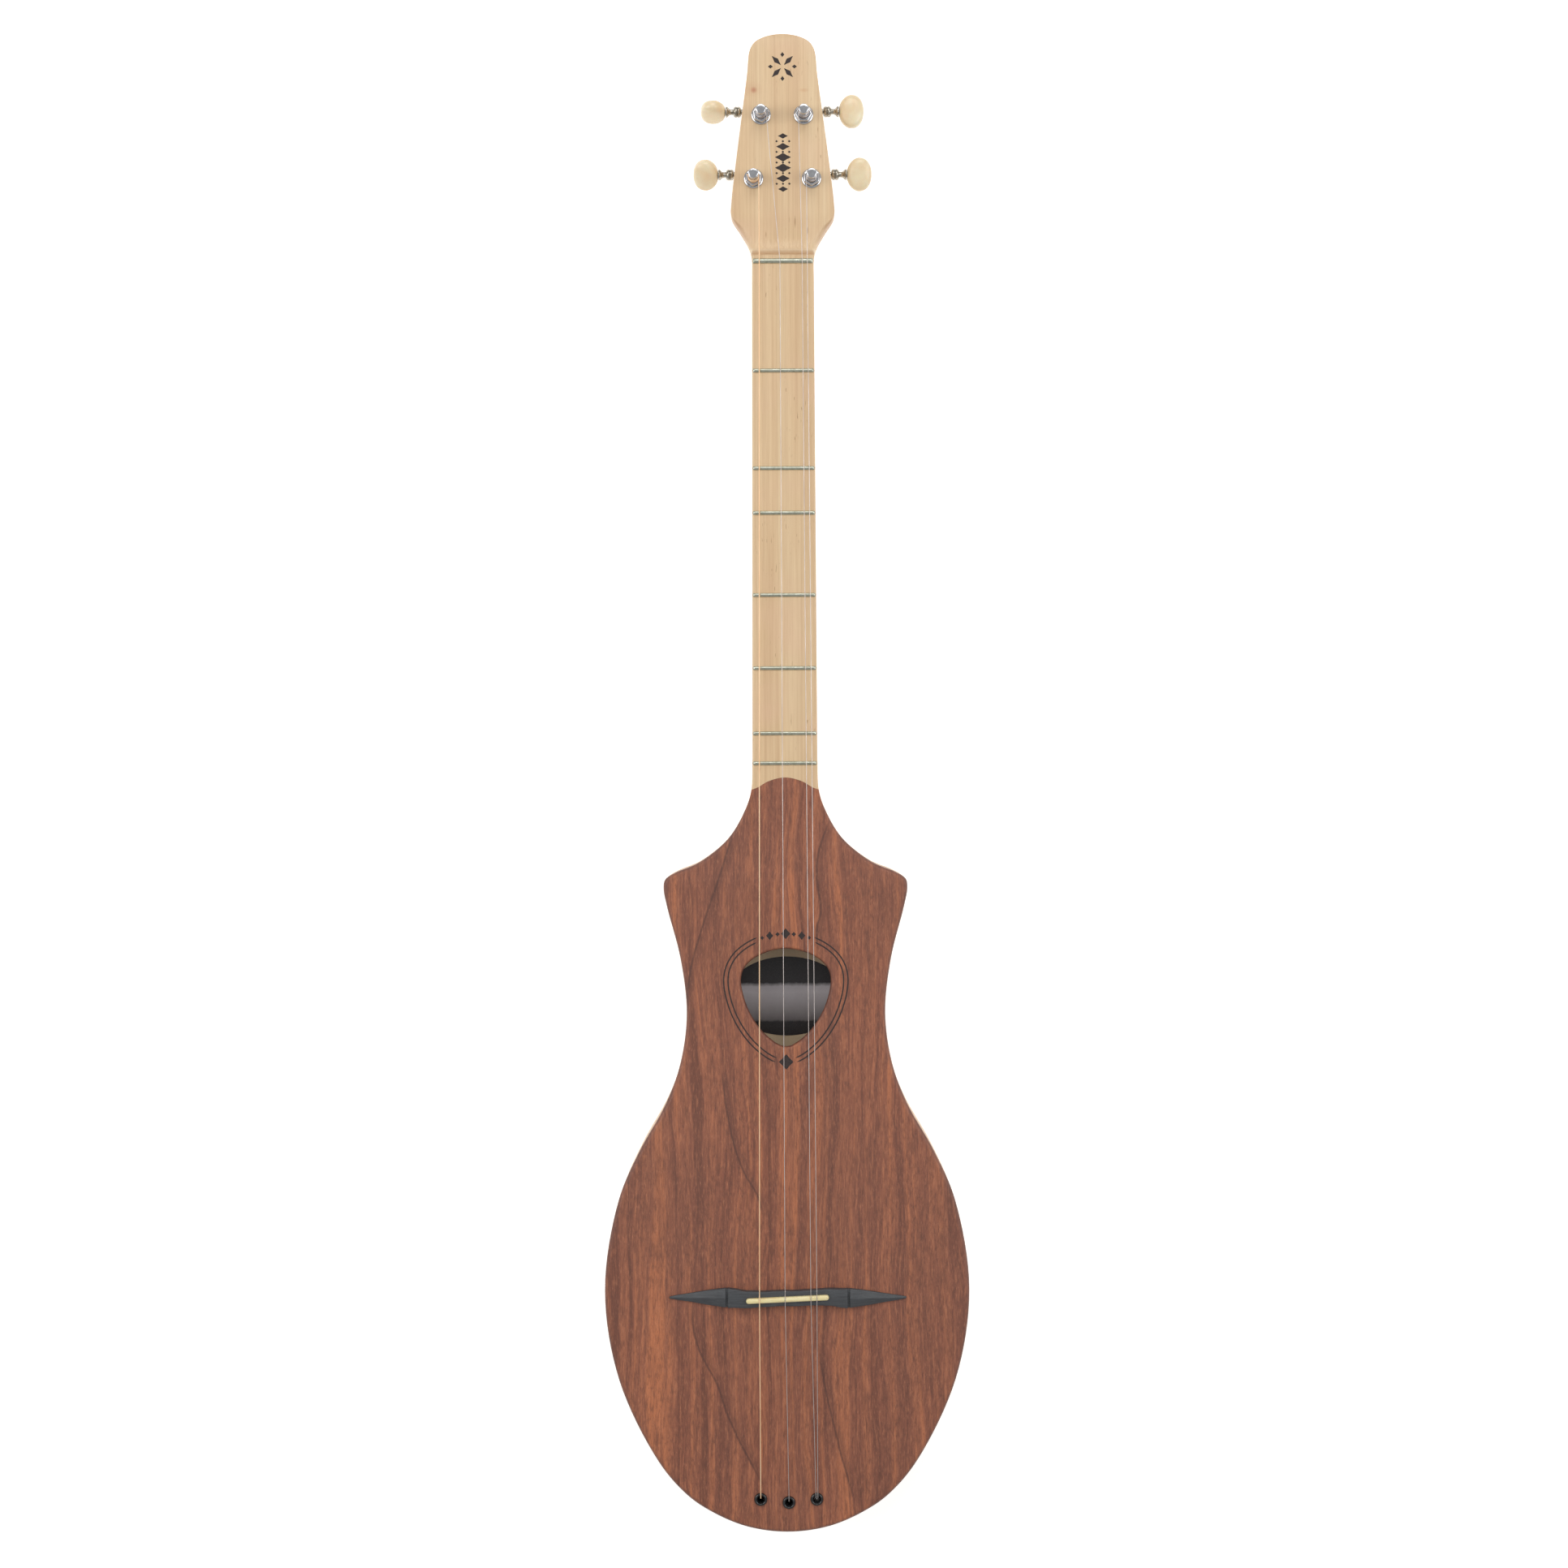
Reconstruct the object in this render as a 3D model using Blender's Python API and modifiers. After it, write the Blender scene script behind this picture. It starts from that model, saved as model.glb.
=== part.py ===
"""Stick dulcimer: a hollow maple body with its neck and headstock in one piece, a mahogany soundboard,
eight frets, a winged bridge with a slanted saddle, four strings and four open-gear tuners.

It lies on its flat back on z = 0, with the soundboard up (+Z) and the headstock at +Y. Every length
below is in millimetres and becomes metres where a mesh is made."""

import math

import bmesh
import bpy
from mathutils import Matrix, Vector

MM = 0.001
GAP = 0.3  # between pieces that rest on each other
BEYOND = 15.0  # how far a cutter reaches past what it cuts

# Heights above the flat back
TOP_Z = 45.0  # soundboard and fretboard surface
OVER = TOP_Z + BEYOND
SOUNDBOARD = 3.0
FLOOR_Z = 5.0  # inner face of the back
HEAD_FACE_Z = 39.0
HEAD_BACK_Z = 24.0
NECK_BACK_Z = 25.0
RIM_Z = TOP_Z - SOUNDBOARD - GAP

# Half outlines, (half width, y), from the tip of the headstock to the tail
HEAD = [(0, 437.1), (9, 436), (15.6, 432.9), (18.8, 428.2), (20.6, 413), (27.4, 361), (30, 338),
        (30, 331.2), (24.9, 322.8), (20.4, 314.8), (18.2, 306.4), (18, 290)]
BODY = [(18.9, 14), (19.6, -4), (23, -15), (33, -32), (50, -46), (64, -52), (70, -56), (71, -61),
        (69, -72), (61.3, -102), (57.8, -134), (61.6, -163), (70.2, -186.5), (86, -214.8), (98, -243),
        (106.1, -295), (98, -347.2), (75.4, -394.5), (59.4, -413.5), (46, -423.1), (24.6, -432.5),
        (0, -435.9)]
BOARD_END = [(0, 3.1), (9.5, 1), (16, -2.7), (19.6, -4)]  # where the soundboard meets the fretboard
CHAMBER = [(0, -58), (30, -59.5), (52, -62), (58.5, -69), (57.5, -82), (53.5, -102), (49.8, -134),
           (54, -165), (71, -203), (89.5, -243), (97.8, -295), (89.5, -345), (70, -385), (52, -396),
           (30, -400), (0, -402)]
SOUND_HOLE = [(0, -96.5), (14.1, -99.7), (23.2, -106.3), (26.1, -114), (22, -131.6), (11.5, -146.8),
              (0, -153.4)]
TAIL_Y = BODY[-1][1]
BODY_SPANS = 2

# Inside: the label and the bars glued across the soundboard, (half length, tail side, head side, underside)
LABEL_AT = (0.6, -127.3)
LABEL_HALF = (35.4, 23.5)
UPPER_BRACE = (52, -84, -76, 34.7)
LOWER_BRACE = (66, -212, -204, 34.7)
BRIDGE_PLATE = (60, -313, -286, 39.2)

# Stations along the neck
HEEL = (-34.0, 30.0)  # the heel rises from the flat back between these
NECK_TO_HEAD = (296.0, 320.0)
FACE_STEP_Y = 307.1  # the fretboard ends here and a scoop drops to the headstock's face
SCOOP_LENGTH = 12.0
BACK_ROUND = 6.0
NECK_ROUND = 15.0
HEAD_ROUND = 1.5
CORNER_STEPS = 4

# Frets: a zero fret, then a diatonic row whose places follow the scale length
SCALE = 583.8
ZERO_FRET_Y = 303.3
FRET_SEMITONES = (2, 4, 5, 7, 9, 11, 12)
FRET_INSET = 0.5
TANG = (0.5, 2.0)  # width and depth

# Bridge and saddle
SADDLE_AT = (0.2, -299.1)
SADDLE_SIZE = (48.1, 3.1)
SADDLE_Z = (46.9, 52.0)
SADDLE_SLANT = math.radians(2.47)
BRIDGE_CENTRE = (0.4, -298.9)
# Along the bridge from its centre to one tip: x, tail side, head side, side height, ridge height
BRIDGE = [(2, -4.5, 4.3, 4.6, 4.7), (15, -4.0, 4.9, 4.6, 4.7), (24, -4.2, 5.5, 4.5, 4.7),
          (32.5, -5.6, 5.3, 4.2, 4.6), (34.6, -5.9, 5.4, 4.0, 4.5), (34.9, -5.6, 5.1, 2.8, 3.1),
          (35.8, -5.6, 5.1, 2.8, 3.1), (36.1, -5.8, 5.3, 3.0, 4.4), (46, -4.6, 4.0, 2.0, 3.6),
          (56, -2.9, 2.3, 1.4, 2.6), (65, -1.5, 1.0, 1.1, 1.6), (68.8, -0.7, 0.3, 0.9, 1.1)]

# Strings: name, radius, tuner, x at the zero fret, x at the saddle, ferrule, offset inside a shared ferrule
STRINGS = [("string_1", 0.30, "lower_left", -13.7, -16.0, 0, 0.0),
           ("string_2", 0.18, "upper_left", -1.7, -1.2, 1, 0.0),
           ("string_3", 0.18, "upper_right", 11.2, 13.7, 2, -0.55),
           ("string_4", 0.18, "lower_right", 14.2, 17.2, 2, 0.55)]
STRING_LIFT = 0.1
WINDING_Z = 43.6
WINDING_INNER = 2.8
WINDING_TURNS = 4

# Ferrules: place of each pair; the last pair takes two strings, whose ball ends lie side by side
FERRULES = [(-15.8, -416.3), (0.6, -418.2), (16.8, -416.3)]
FERRULE_BARREL = 3.0
FERRULE_FLANGE = (3.8, 1.1)  # radius and height above the soundboard
FERRULE_LOW = 38.0
FERRULE_WAY = 1.65
STRING_WAY = 2.3  # the bore between the front ferrule and the cup
CUP_RADIUS, CUP_FLANGE = 3.8, 4.9
CUP_INNER, CUP_HOLE = 2.5, 1.3
CUP_TOP, CUP_ROOF, CUP_FLANGE_TOP = 8.3, 6.6, 1.2
BALL = 1.9
BALL_Z = (2.3, 5.3)
BALL_SPACING = 2.15

# Tuners: side, |x| and y of the post, and how far the button is turned
TUNERS = {"lower_left": (-1, 16.9, 352.6, 46.0), "upper_left": (-1, 12.4, 389.8, 74.0),
          "upper_right": (1, 12.4, 389.8, 0.0), "lower_right": (1, 16.9, 352.6, 13.0)}
WORM_Z = 19.0
WORM_OFFSET = 7.2  # from the post's axis to the worm's, towards the tip
GEAR_TEETH = 14
GEAR_ROOT, GEAR_PITCH, GEAR_TIP = 4.35, 5.25, 5.9
GEAR_HALF = 1.5
WORM_PITCH = WORM_OFFSET - GEAR_PITCH
WORM_ROOT, WORM_CREST = 1.05, 2.55
WORM_HALF = 3.6
WORM_SIDES = 8
# The shaft on both sides of its thread, (x from the post's axis, radius): journals, then collar and flare
SHAFT_IN = ((-7.2, 1.3), (-4.2, 1.3))
SHAFT_OUT = ((4.2, 1.3), (7.2, 1.3), (7.4, 1.65), (11.9, 1.65), (12.3, 3.15), (16.2, 3.15), (16.7, 1.65),
             (18.4, 1.65), (20.8, 3.25), (20.8, 1.4), (26.5, 1.4))
LEAD = 2 * math.pi * GEAR_PITCH / GEAR_TEETH
PLATE_Z = (22.5, 23.7)
PLATE = [(-4, -12), (4, -12), (7, -8.5), (7, 12.5), (4, 15.5), (-4, 15.5), (-7, 12.5), (-7, -8.5)]
PLATE_SCREWS_Y = (-9.6, 13.0)
PLATE_SCREW_HOLE = 1.3
LUG = (5.0, 6.5)  # near and far faces of a lug, from the post's axis
POST_RADIUS = 2.95
POST_WAIST = 2.6
POST_TOP = 52.8
POST_BORE = 4.4
POST_HOLE, POST_HOLE_Z = 0.6, 47.8
WAIST_Z = (43.4, 49.4)
SPIGOT, SPIGOT_Z = 2.0, (16.8, 20.8)
WASHER = (4.5, 5.8, 0.9)  # inner and outer radius, thickness
BUSHING_BORE, BUSHING_RADIUS = 3.3, 4.0
HEXAGON = (5.2, 2.2)  # radius to its corners, height
BUTTON_AT = 28.45  # centre of the button, from the post's axis
BUTTON_SIZE = (14.7, 19.4, 8.0)
BUTTON_HOLE = (1.8, 13.0)  # radius, and length of its cutter
OVAL_POWER, FACE_POWER = 2.25, 3.1  # 2 is an ellipse; more is fuller

PARTS = "dulcimer"
CUTTERS = "dulcimer_cutters"
TO_X = Matrix(((0, 0, 1), (1, 0, 0), (0, 1, 0))).to_4x4()  # turns a prism's length from Z to X


def material(name, colour, roughness, metallic=0.0):
    finish = bpy.data.materials.new(name)
    finish.use_nodes = True
    shader = finish.node_tree.nodes["Principled BSDF"]
    shader.inputs["Base Color"].default_value = (*colour, 1)
    shader.inputs["Roughness"].default_value = roughness
    shader.inputs["Metallic"].default_value = metallic
    finish.diffuse_color = (*colour, 1)
    return finish


def beyond(end, inner):
    """The point that leads a path out past its end: the mirrored one where the end lies on the axis."""
    return Vector((-inner.x, inner.y)) if end.x == 0 else 2 * end - inner


def smooth(points, spans):
    """A smooth path through the points (centripetal Catmull-Rom), with `spans` steps between two."""
    knots = [Vector(point) for point in points]
    knots = [beyond(knots[0], knots[1]), *knots, beyond(knots[-1], knots[-2])]
    path = []
    for before, start, end, after in zip(knots, knots[1:], knots[2:], knots[3:]):
        t1 = math.sqrt((start - before).length)
        t2 = t1 + math.sqrt((end - start).length)
        t3 = t2 + math.sqrt((after - end).length)
        for step in range(spans):
            t = t1 + (t2 - t1) * step / spans
            a = before.lerp(start, t / t1)
            b = start.lerp(end, (t - t1) / (t2 - t1))
            c = end.lerp(after, (t - t2) / (t3 - t2))
            path.append(a.lerp(b, t / t2).lerp(b.lerp(c, (t - t1) / (t3 - t1)), (t - t1) / (t2 - t1)))
    return [*path, knots[-2]]


def mirrored(half):
    """The whole outline from its +X half, which starts and ends on the axis."""
    return [*half, *[(-x, y) for x, y in reversed(half[1:-1])]]


def ring(centre, radius, sides):
    turn = 2 * math.pi / sides
    return [(centre[0] + radius * math.cos(i * turn), centre[1] + radius * math.sin(i * turn))
            for i in range(sides)]


def capsule(centre, length, width, slant, sides=6):
    """A slot's outline: two half rounds joined by straight sides."""
    turn = Matrix.Rotation(slant, 2)
    reach = (length - width) / 2
    points = []
    for end in (1, -1):
        for i in range(sides + 1):
            angle = math.pi * i / sides - math.pi / 2
            point = Vector((reach + width / 2 * math.cos(angle), width / 2 * math.sin(angle))) * end
            points.append(Vector(centre) + turn @ point)
    return points


def add(name, mesh, finish, at=(0, 0, 0)):
    """Links a part, or a cutter when it has no finish, at a place in millimetres."""
    obj = bpy.data.objects.new(name, mesh)
    obj.location = Vector(at) * MM
    if finish is None:
        bpy.data.collections[CUTTERS].objects.link(obj)
        obj.hide_render = True
        obj.display_type = "WIRE"
    else:
        bpy.data.collections[PARTS].objects.link(obj)
        mesh.materials.append(finish)
    return obj


def finished(name, shape, finish, at=(0, 0, 0)):
    bmesh.ops.recalc_face_normals(shape, faces=shape.faces)
    mesh = bpy.data.meshes.new(name)
    shape.to_mesh(mesh)
    shape.free()
    mesh.shade_smooth()
    mesh.set_sharp_from_angle(angle=math.radians(40))
    return add(name, mesh, finish, at)


def prism(name, outlines, low, high, finish, facing=None, at=(0, 0, 0)):
    """A flat outline, with any holes as further outlines, raised from low to high."""
    curve = bpy.data.curves.new(name, "CURVE")
    curve.dimensions = "2D"
    curve.fill_mode = "BOTH"
    curve.extrude = (high - low) / 2 * MM
    for outline in outlines:
        spline = curve.splines.new("POLY")
        spline.points.add(len(outline) - 1)
        for point, (x, y) in zip(spline.points, outline):
            point.co = (x * MM, y * MM, 0, 1)
        spline.use_cyclic_u = True
    guide = bpy.data.objects.new(name, curve)
    bpy.context.scene.collection.objects.link(guide)
    mesh = bpy.data.meshes.new_from_object(guide.evaluated_get(bpy.context.evaluated_depsgraph_get()))
    bpy.data.objects.remove(guide)
    shape = bmesh.new()
    shape.from_mesh(mesh)
    bmesh.ops.remove_doubles(shape, verts=shape.verts, dist=1e-6)
    bmesh.ops.translate(shape, verts=shape.verts, vec=(0, 0, (low + high) / 2 * MM))
    if facing:
        bmesh.ops.transform(shape, matrix=facing, verts=shape.verts)
    return finished(name, shape, finish, at)


def loft(name, rings, finish, at=(0, 0, 0)):
    """A closed body through rings of equal point counts, capped at both ends."""
    shape = bmesh.new()
    loops = [[shape.verts.new(Vector(point) * MM) for point in loop] for loop in rings]
    for near, far in zip(loops, loops[1:]):
        for i, corner in enumerate(near):
            shape.faces.new((near[i - 1], corner, far[i], far[i - 1]))
    shape.faces.new(loops[0])
    shape.faces.new(loops[-1])
    return finished(name, shape, finish, at)


def turned(name, profile, finish, at=(0, 0, 0), steps=12, hollow=False):
    """A body turned about Z. Its profile, (radius, z), runs down the outer side, and closes when hollow."""
    count = len(profile)
    edges = [(i, i + 1) for i in range(count - 1)]
    if hollow:
        edges.append((count - 1, 0))
    mesh = bpy.data.meshes.new(name)
    mesh.from_pydata([(radius * MM, 0, z * MM) for radius, z in profile], edges, [])
    obj = add(name, mesh, finish, at)
    screw = obj.modifiers.new("Turn", "SCREW")
    screw.steps = steps
    screw.render_steps = steps
    screw.use_merge_vertices = True
    screw.merge_threshold = 0.00001
    return obj


def block(name, low, high, finish):
    shape = bmesh.new()
    bmesh.ops.create_cube(shape, size=MM)
    low, high = Vector(low), Vector(high)
    bmesh.ops.scale(shape, verts=shape.verts, vec=high - low)
    bmesh.ops.translate(shape, verts=shape.verts, vec=(low + high) / 2 * MM)
    return finished(name, shape, finish)


def boolean(obj, other, operation="DIFFERENCE"):
    modifier = obj.modifiers.new(other.name, "BOOLEAN")
    modifier.operation = operation
    modifier.object = other


def ease(value, span):
    """0 before the span, 1 after it, and a smooth rise between."""
    t = min(max((value - span[0]) / (span[1] - span[0]), 0), 1)
    return t * t * (3 - 2 * t)


def mix(a, b, t):
    return a + (b - a) * t


def neck_half_width(y):
    """The neck narrows evenly from the body to the headstock."""
    wide, narrow = BODY[0], HEAD[-1]
    return mix(wide[0], narrow[0], (y - wide[1]) / (narrow[1] - wide[1]))


def core_stations():
    """(half width, y, sideways share of the outline's normal) from the tip to the tail."""
    path = [*smooth(HEAD, 2), *[Vector((neck_half_width(y), y)) for y in (220, 150, 80, 30)]]
    path += smooth(BODY, BODY_SPANS)
    # The scoop needs stations of its own
    for y in (FACE_STEP_Y, FACE_STEP_Y + 0.5, FACE_STEP_Y + 3, FACE_STEP_Y + 7, FACE_STEP_Y + SCOOP_LENGTH):
        below = next(i for i, point in enumerate(path) if point.y < y)
        high, low = path[below - 1], path[below]
        if high.y - y > 0.2 and y - low.y > 0.2:
            path.insert(below, high.lerp(low, (high.y - y) / (high.y - low.y)))
    stations = []
    for i, point in enumerate(path):
        along = path[min(i + 1, len(path) - 1)] - path[max(i - 1, 0)]
        stations.append((point.x, point.y, abs(along.y) / along.length))
    return stations


def core_ring(half, y, sideways):
    """One cross-section: flat on top, with rounded corners at the back that grow into the neck's D."""
    neck = ease(y, HEEL)
    head = ease(y, NECK_TO_HEAD)
    from_tail = min(max(y - TAIL_Y, 0), BACK_ROUND)
    tail_rise = BACK_ROUND - math.sqrt(BACK_ROUND**2 - (BACK_ROUND - from_tail) ** 2)
    half = max(half, 1.5)
    back = mix(mix(tail_rise, NECK_BACK_Z, neck), HEAD_BACK_Z, head)
    across = mix(mix(BACK_ROUND / max(sideways, 0.2), 0.93 * half, neck), HEAD_ROUND, head)
    across = min(across, 0.93 * half)
    down = mix(mix(BACK_ROUND, NECK_ROUND, neck), HEAD_ROUND, head)
    drop = min(max((y - FACE_STEP_Y) / SCOOP_LENGTH, 0), 1)
    top = TOP_Z - (TOP_Z - HEAD_FACE_Z) * math.sqrt(1 - (1 - drop) ** 2)
    corner = []
    for i in range(CORNER_STEPS + 1):
        angle = math.pi / 2 * i / CORNER_STEPS
        corner.append((half - across * (1 - math.cos(angle)), y, back + down * (1 - math.sin(angle))))
    left = [(-x, y, z) for x, y, z in reversed(corner)]
    return [(half, y, top), *corner, *left, (-half, y, top)]


def make_core(wood):
    core = loft("neck_and_body", [core_ring(*station) for station in core_stations()], wood)
    boolean(core, prism("chamber", [mirrored(smooth(CHAMBER, 2))], FLOOR_Z, OVER, None))
    seat = [(x, y + GAP) for x, y in smooth(BOARD_END, 3)]
    corner, tail = seat[-1][1], TAIL_Y - BEYOND
    wide = max(x for x, _ in BODY) + BEYOND
    sides = [(wide, corner), (wide, tail), (-wide, tail), (-wide, corner)]
    outline = [*seat, *sides, *[(-x, y) for x, y in reversed(seat[1:])]]
    boolean(core, prism("soundboard_seat", [outline], RIM_Z, OVER, None))
    for x, y in FERRULES:
        wide = BALL_SPACING if (x, y) == FERRULES[-1] else 0
        front = FERRULE_BARREL + GAP
        cup, flange = CUP_RADIUS + wide + GAP, CUP_FLANGE + wide + GAP
        # One turned cutter for the whole bore: front barrel, string way, and back cup with its flange
        profile = [(0, OVER), (front, OVER), (front, FERRULE_LOW - 0.5),
                   (STRING_WAY + wide / 2, FERRULE_LOW - 1), (STRING_WAY + wide, CUP_TOP + 0.7),
                   (cup, CUP_TOP + GAP), (cup, CUP_FLANGE_TOP + 2 * GAP),
                   (flange, CUP_FLANGE_TOP + GAP), (flange, -BEYOND), (0, -BEYOND)]
        boolean(core, turned(f"string_bore_{x:.0f}", profile, None, (x, y, 0)))
    for name, (side, x, y, _) in TUNERS.items():
        bore = [(0, OVER), (POST_BORE, OVER), (POST_BORE, 0), (0, 0)]
        boolean(core, turned(f"post_bore_{name}", bore, None, (side * x, y, 0), steps=16))
    for name, y, _ in fret_row():
        half = TANG[0] / 2 + GAP
        reach = neck_half_width(y) + BEYOND
        low = (-reach, y - half, TOP_Z - TANG[1] - GAP)
        boolean(core, block(f"slot_{name}", low, (reach, y + half, OVER), None))
    return core


def make_soundboard(wood):
    side = [point for point in smooth(BODY, BODY_SPANS) if point.y <= BOARD_END[-1][1] + 0.01]
    end = smooth(BOARD_END, 3)
    holes = [mirrored(smooth(SOUND_HOLE, 3))]
    holes += [ring(place, FERRULE_BARREL + GAP, 12) for place in FERRULES]
    outline = mirrored([*end[:-1], *side])
    prism("soundboard", [outline, *holes], TOP_Z - SOUNDBOARD, TOP_Z, wood)


def make_bracing(spruce, maple):
    """Bars glued across the soundboard's underside, and a hard plate under the bridge."""
    bars = (("upper_brace", UPPER_BRACE, spruce), ("lower_brace", LOWER_BRACE, spruce),
            ("bridge_plate", BRIDGE_PLATE, maple))
    for name, (reach, near, far, low), wood in bars:
        block(name, (-reach, near, low), (reach, far, RIM_Z), wood)


def make_label(paper):
    """A plain oval label on the inner face of the back, seen through the sound hole."""
    (x, y), (wide, tall) = LABEL_AT, LABEL_HALF
    outline = [(x + wide * across, y + tall * along) for across, along in ring((0, 0), 1, 24)]
    prism("label", [outline], FLOOR_Z + GAP, FLOOR_Z + 2 * GAP, paper)


def fret_row():
    """(name, y, crown size) of every fret, the zero fret first."""
    row = [("fret_0", ZERO_FRET_Y, (2.9, 1.2))]
    saddle_y = ZERO_FRET_Y - SCALE
    for number, semitones in enumerate(FRET_SEMITONES, 1):
        row.append((f"fret_{number}", saddle_y + SCALE * 2 ** (-semitones / 12), (2.3, 1.0)))
    return row


def make_frets(metal):
    for name, y, (width, height) in fret_row():
        base = TOP_Z + GAP
        tang = TANG[0] / 2
        crown = []
        for i in range(6):
            angle = math.pi * i / 5
            crown.append((y + width / 2 * math.cos(angle), base + (height - GAP) * math.sin(angle)))
        foot = [(y - tang, base), (y - tang, TOP_Z - TANG[1]), (y + tang, TOP_Z - TANG[1]), (y + tang, base)]
        reach = neck_half_width(y) - FRET_INSET
        prism(name, [[*crown, *foot]], -reach, reach, metal, facing=TO_X)


def bridge_ring(x, near, far, side_height, ridge, base):
    """A section across the bridge: upright sides and a ridge along the middle."""
    centre = BRIDGE_CENTRE[1]
    middle = (near + far) / 2
    points = [(near, 0), (near, side_height), (middle, ridge), (far, side_height), (far, 0)]
    return [(x, centre + y, base + z) for y, z in points]


def make_bridge(black, bone):
    base = TOP_Z + GAP
    middle = BRIDGE_CENTRE[0]
    right = [bridge_ring(middle + x, near, far, low, high, base) for x, near, far, low, high in BRIDGE]
    # The left half is the right one turned half way round, which gives the body its S
    left = [bridge_ring(middle - x, -far, -near, low, high, base) for x, near, far, low, high in BRIDGE]
    bridge = loft("bridge", [*reversed(left), *right], black)
    length, width = SADDLE_SIZE
    slot = capsule(SADDLE_AT, length + 2 * GAP, width + 2 * GAP, SADDLE_SLANT)
    boolean(bridge, prism("saddle_slot", [slot], SADDLE_Z[0] - GAP, OVER, None))
    prism("saddle", [capsule(SADDLE_AT, length, width, SADDLE_SLANT)], *SADDLE_Z, bone)


def make_ferrules(plastic, metal):
    barrel, way = FERRULE_BARREL, FERRULE_WAY
    flange, height = FERRULE_FLANGE
    for number, (x, y) in enumerate(FERRULES, 1):
        low = TOP_Z + GAP
        front = [(way, low + height), (flange - 0.6, low + height), (flange, low + height / 2), (flange, low),
                 (barrel, low), (barrel, FERRULE_LOW), (way, FERRULE_LOW)]
        turned(f"front_ferrule_{number}", front, plastic, (x, y, 0), hollow=True)
        wide = BALL_SPACING if number == len(FERRULES) else 0
        inner, outer, hole, rim = (radius + wide for radius in (CUP_INNER, CUP_RADIUS, CUP_HOLE, CUP_FLANGE))
        back = [(hole, CUP_TOP), (outer, CUP_TOP), (outer, CUP_FLANGE_TOP), (rim, CUP_FLANGE_TOP), (rim, GAP),
                (inner, GAP), (inner, CUP_ROOF), (hole, CUP_ROOF)]
        turned(f"back_ferrule_{number}", back, metal, (x, y, 0), hollow=True)


def string_route(radius, tuner, x_zero, x_saddle, ferrule, offset):
    """The string's path from its winding, over the zero fret and the saddle, to just above its ball."""
    side, x, y, _ = TUNERS[tuner]
    leaves = Vector((side * (x - WINDING_INNER - radius), y, WINDING_Z + radius))
    zero = Vector((x_zero, ZERO_FRET_Y, TOP_Z + 1.2 + STRING_LIFT + radius))
    slant = (x_saddle - SADDLE_AT[0]) * math.tan(SADDLE_SLANT)
    saddle = Vector((x_saddle, SADDLE_AT[1] + slant, SADDLE_Z[1] + STRING_LIFT + radius))
    hole_x, hole_y = FERRULES[ferrule]
    hole_x += offset
    spread = math.copysign(BALL_SPACING, offset) - offset if offset else 0
    start = leaves.lerp(zero, 2.6 / (zero - leaves).length)
    return [start, zero, saddle, Vector((hole_x, hole_y + 1.2, TOP_Z + 2.0)),
            Vector((hole_x, hole_y + 0.7, TOP_Z + 0.6)), Vector((hole_x, hole_y, TOP_Z - 5)),
            Vector((hole_x, hole_y, FERRULE_LOW)), Vector((hole_x + spread, hole_y, CUP_TOP + 0.7)),
            Vector((hole_x + spread, hole_y, BALL_Z[1] + 0.1))]


def make_strings(bronze, steel):
    for name, radius, tuner, x_zero, x_saddle, ferrule, offset in STRINGS:
        finish = bronze if ferrule == 0 else steel
        route = string_route(radius, tuner, x_zero, x_saddle, ferrule, offset)
        ball = [Vector((*route[-1].xy, z)) for z in reversed(BALL_Z)]
        curve = bpy.data.curves.new(name, "CURVE")
        curve.dimensions = "3D"
        curve.bevel_depth = radius * MM
        curve.bevel_resolution = 2
        curve.use_fill_caps = True
        spline = curve.splines.new("POLY")
        spline.points.add(len(route) + len(ball) - 1)
        for i, (point, place) in enumerate(zip(spline.points, [*route, *ball])):
            point.co = (*(place * MM), 1)
            point.radius = 1 if i < len(route) else BALL / radius
        add(name, curve, finish)
        wind_string(name, radius, tuner, finish)


def wind_string(name, radius, tuner, finish):
    """The turns round the post, as one turned band that lies clear of the post's waist."""
    side, x, y, _ = TUNERS[tuner]
    inner, outer = WINDING_INNER, WINDING_INNER + 2 * radius
    low, high = WINDING_Z, WINDING_Z + 2 * radius * WINDING_TURNS
    band = [(outer, high), (outer, low), (inner, low), (inner, high)]
    turned(f"{name}_winding", band, finish, (side * x, y, 0), hollow=True)


def worm_ring(x, radius_at, phase, side):
    """Points round the worm's axis; the thread's crest points along +Y at phase 0."""
    points = []
    for i in range(WORM_SIDES):
        around = phase + 2 * math.pi * (i + 0.5) / WORM_SIDES
        radius = radius_at(i)
        points.append((side * x, radius * math.cos(around), radius * math.sin(around)))
    return points


def thread_radius(i):
    """Two points of the crest, one on each flank and four at the root."""
    flank = mix(WORM_ROOT, WORM_CREST, 0.55)
    return (WORM_CREST, flank, *[WORM_ROOT] * 4, flank, WORM_CREST)[i]


def make_worm_shaft(name, side, at, metal):
    """The worm, its journals, and outside the headstock a collar and a flare that carries the button."""
    turn = 2 * math.pi / LEAD
    rings = [worm_ring(x, lambda i, r=r: r, -WORM_HALF * turn, side)
             for x, r in SHAFT_IN]
    steps = round(2 * WORM_HALF / LEAD * WORM_SIDES)
    for step in range(steps + 1):
        x = mix(-WORM_HALF, WORM_HALF, step / steps)
        rings.append(worm_ring(x, thread_radius, x * turn, side))
    rings += [worm_ring(x, lambda i, r=r: r, WORM_HALF * turn, side) for x, r in SHAFT_OUT]
    loft(f"worm_{name}", rings, metal, at)


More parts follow.
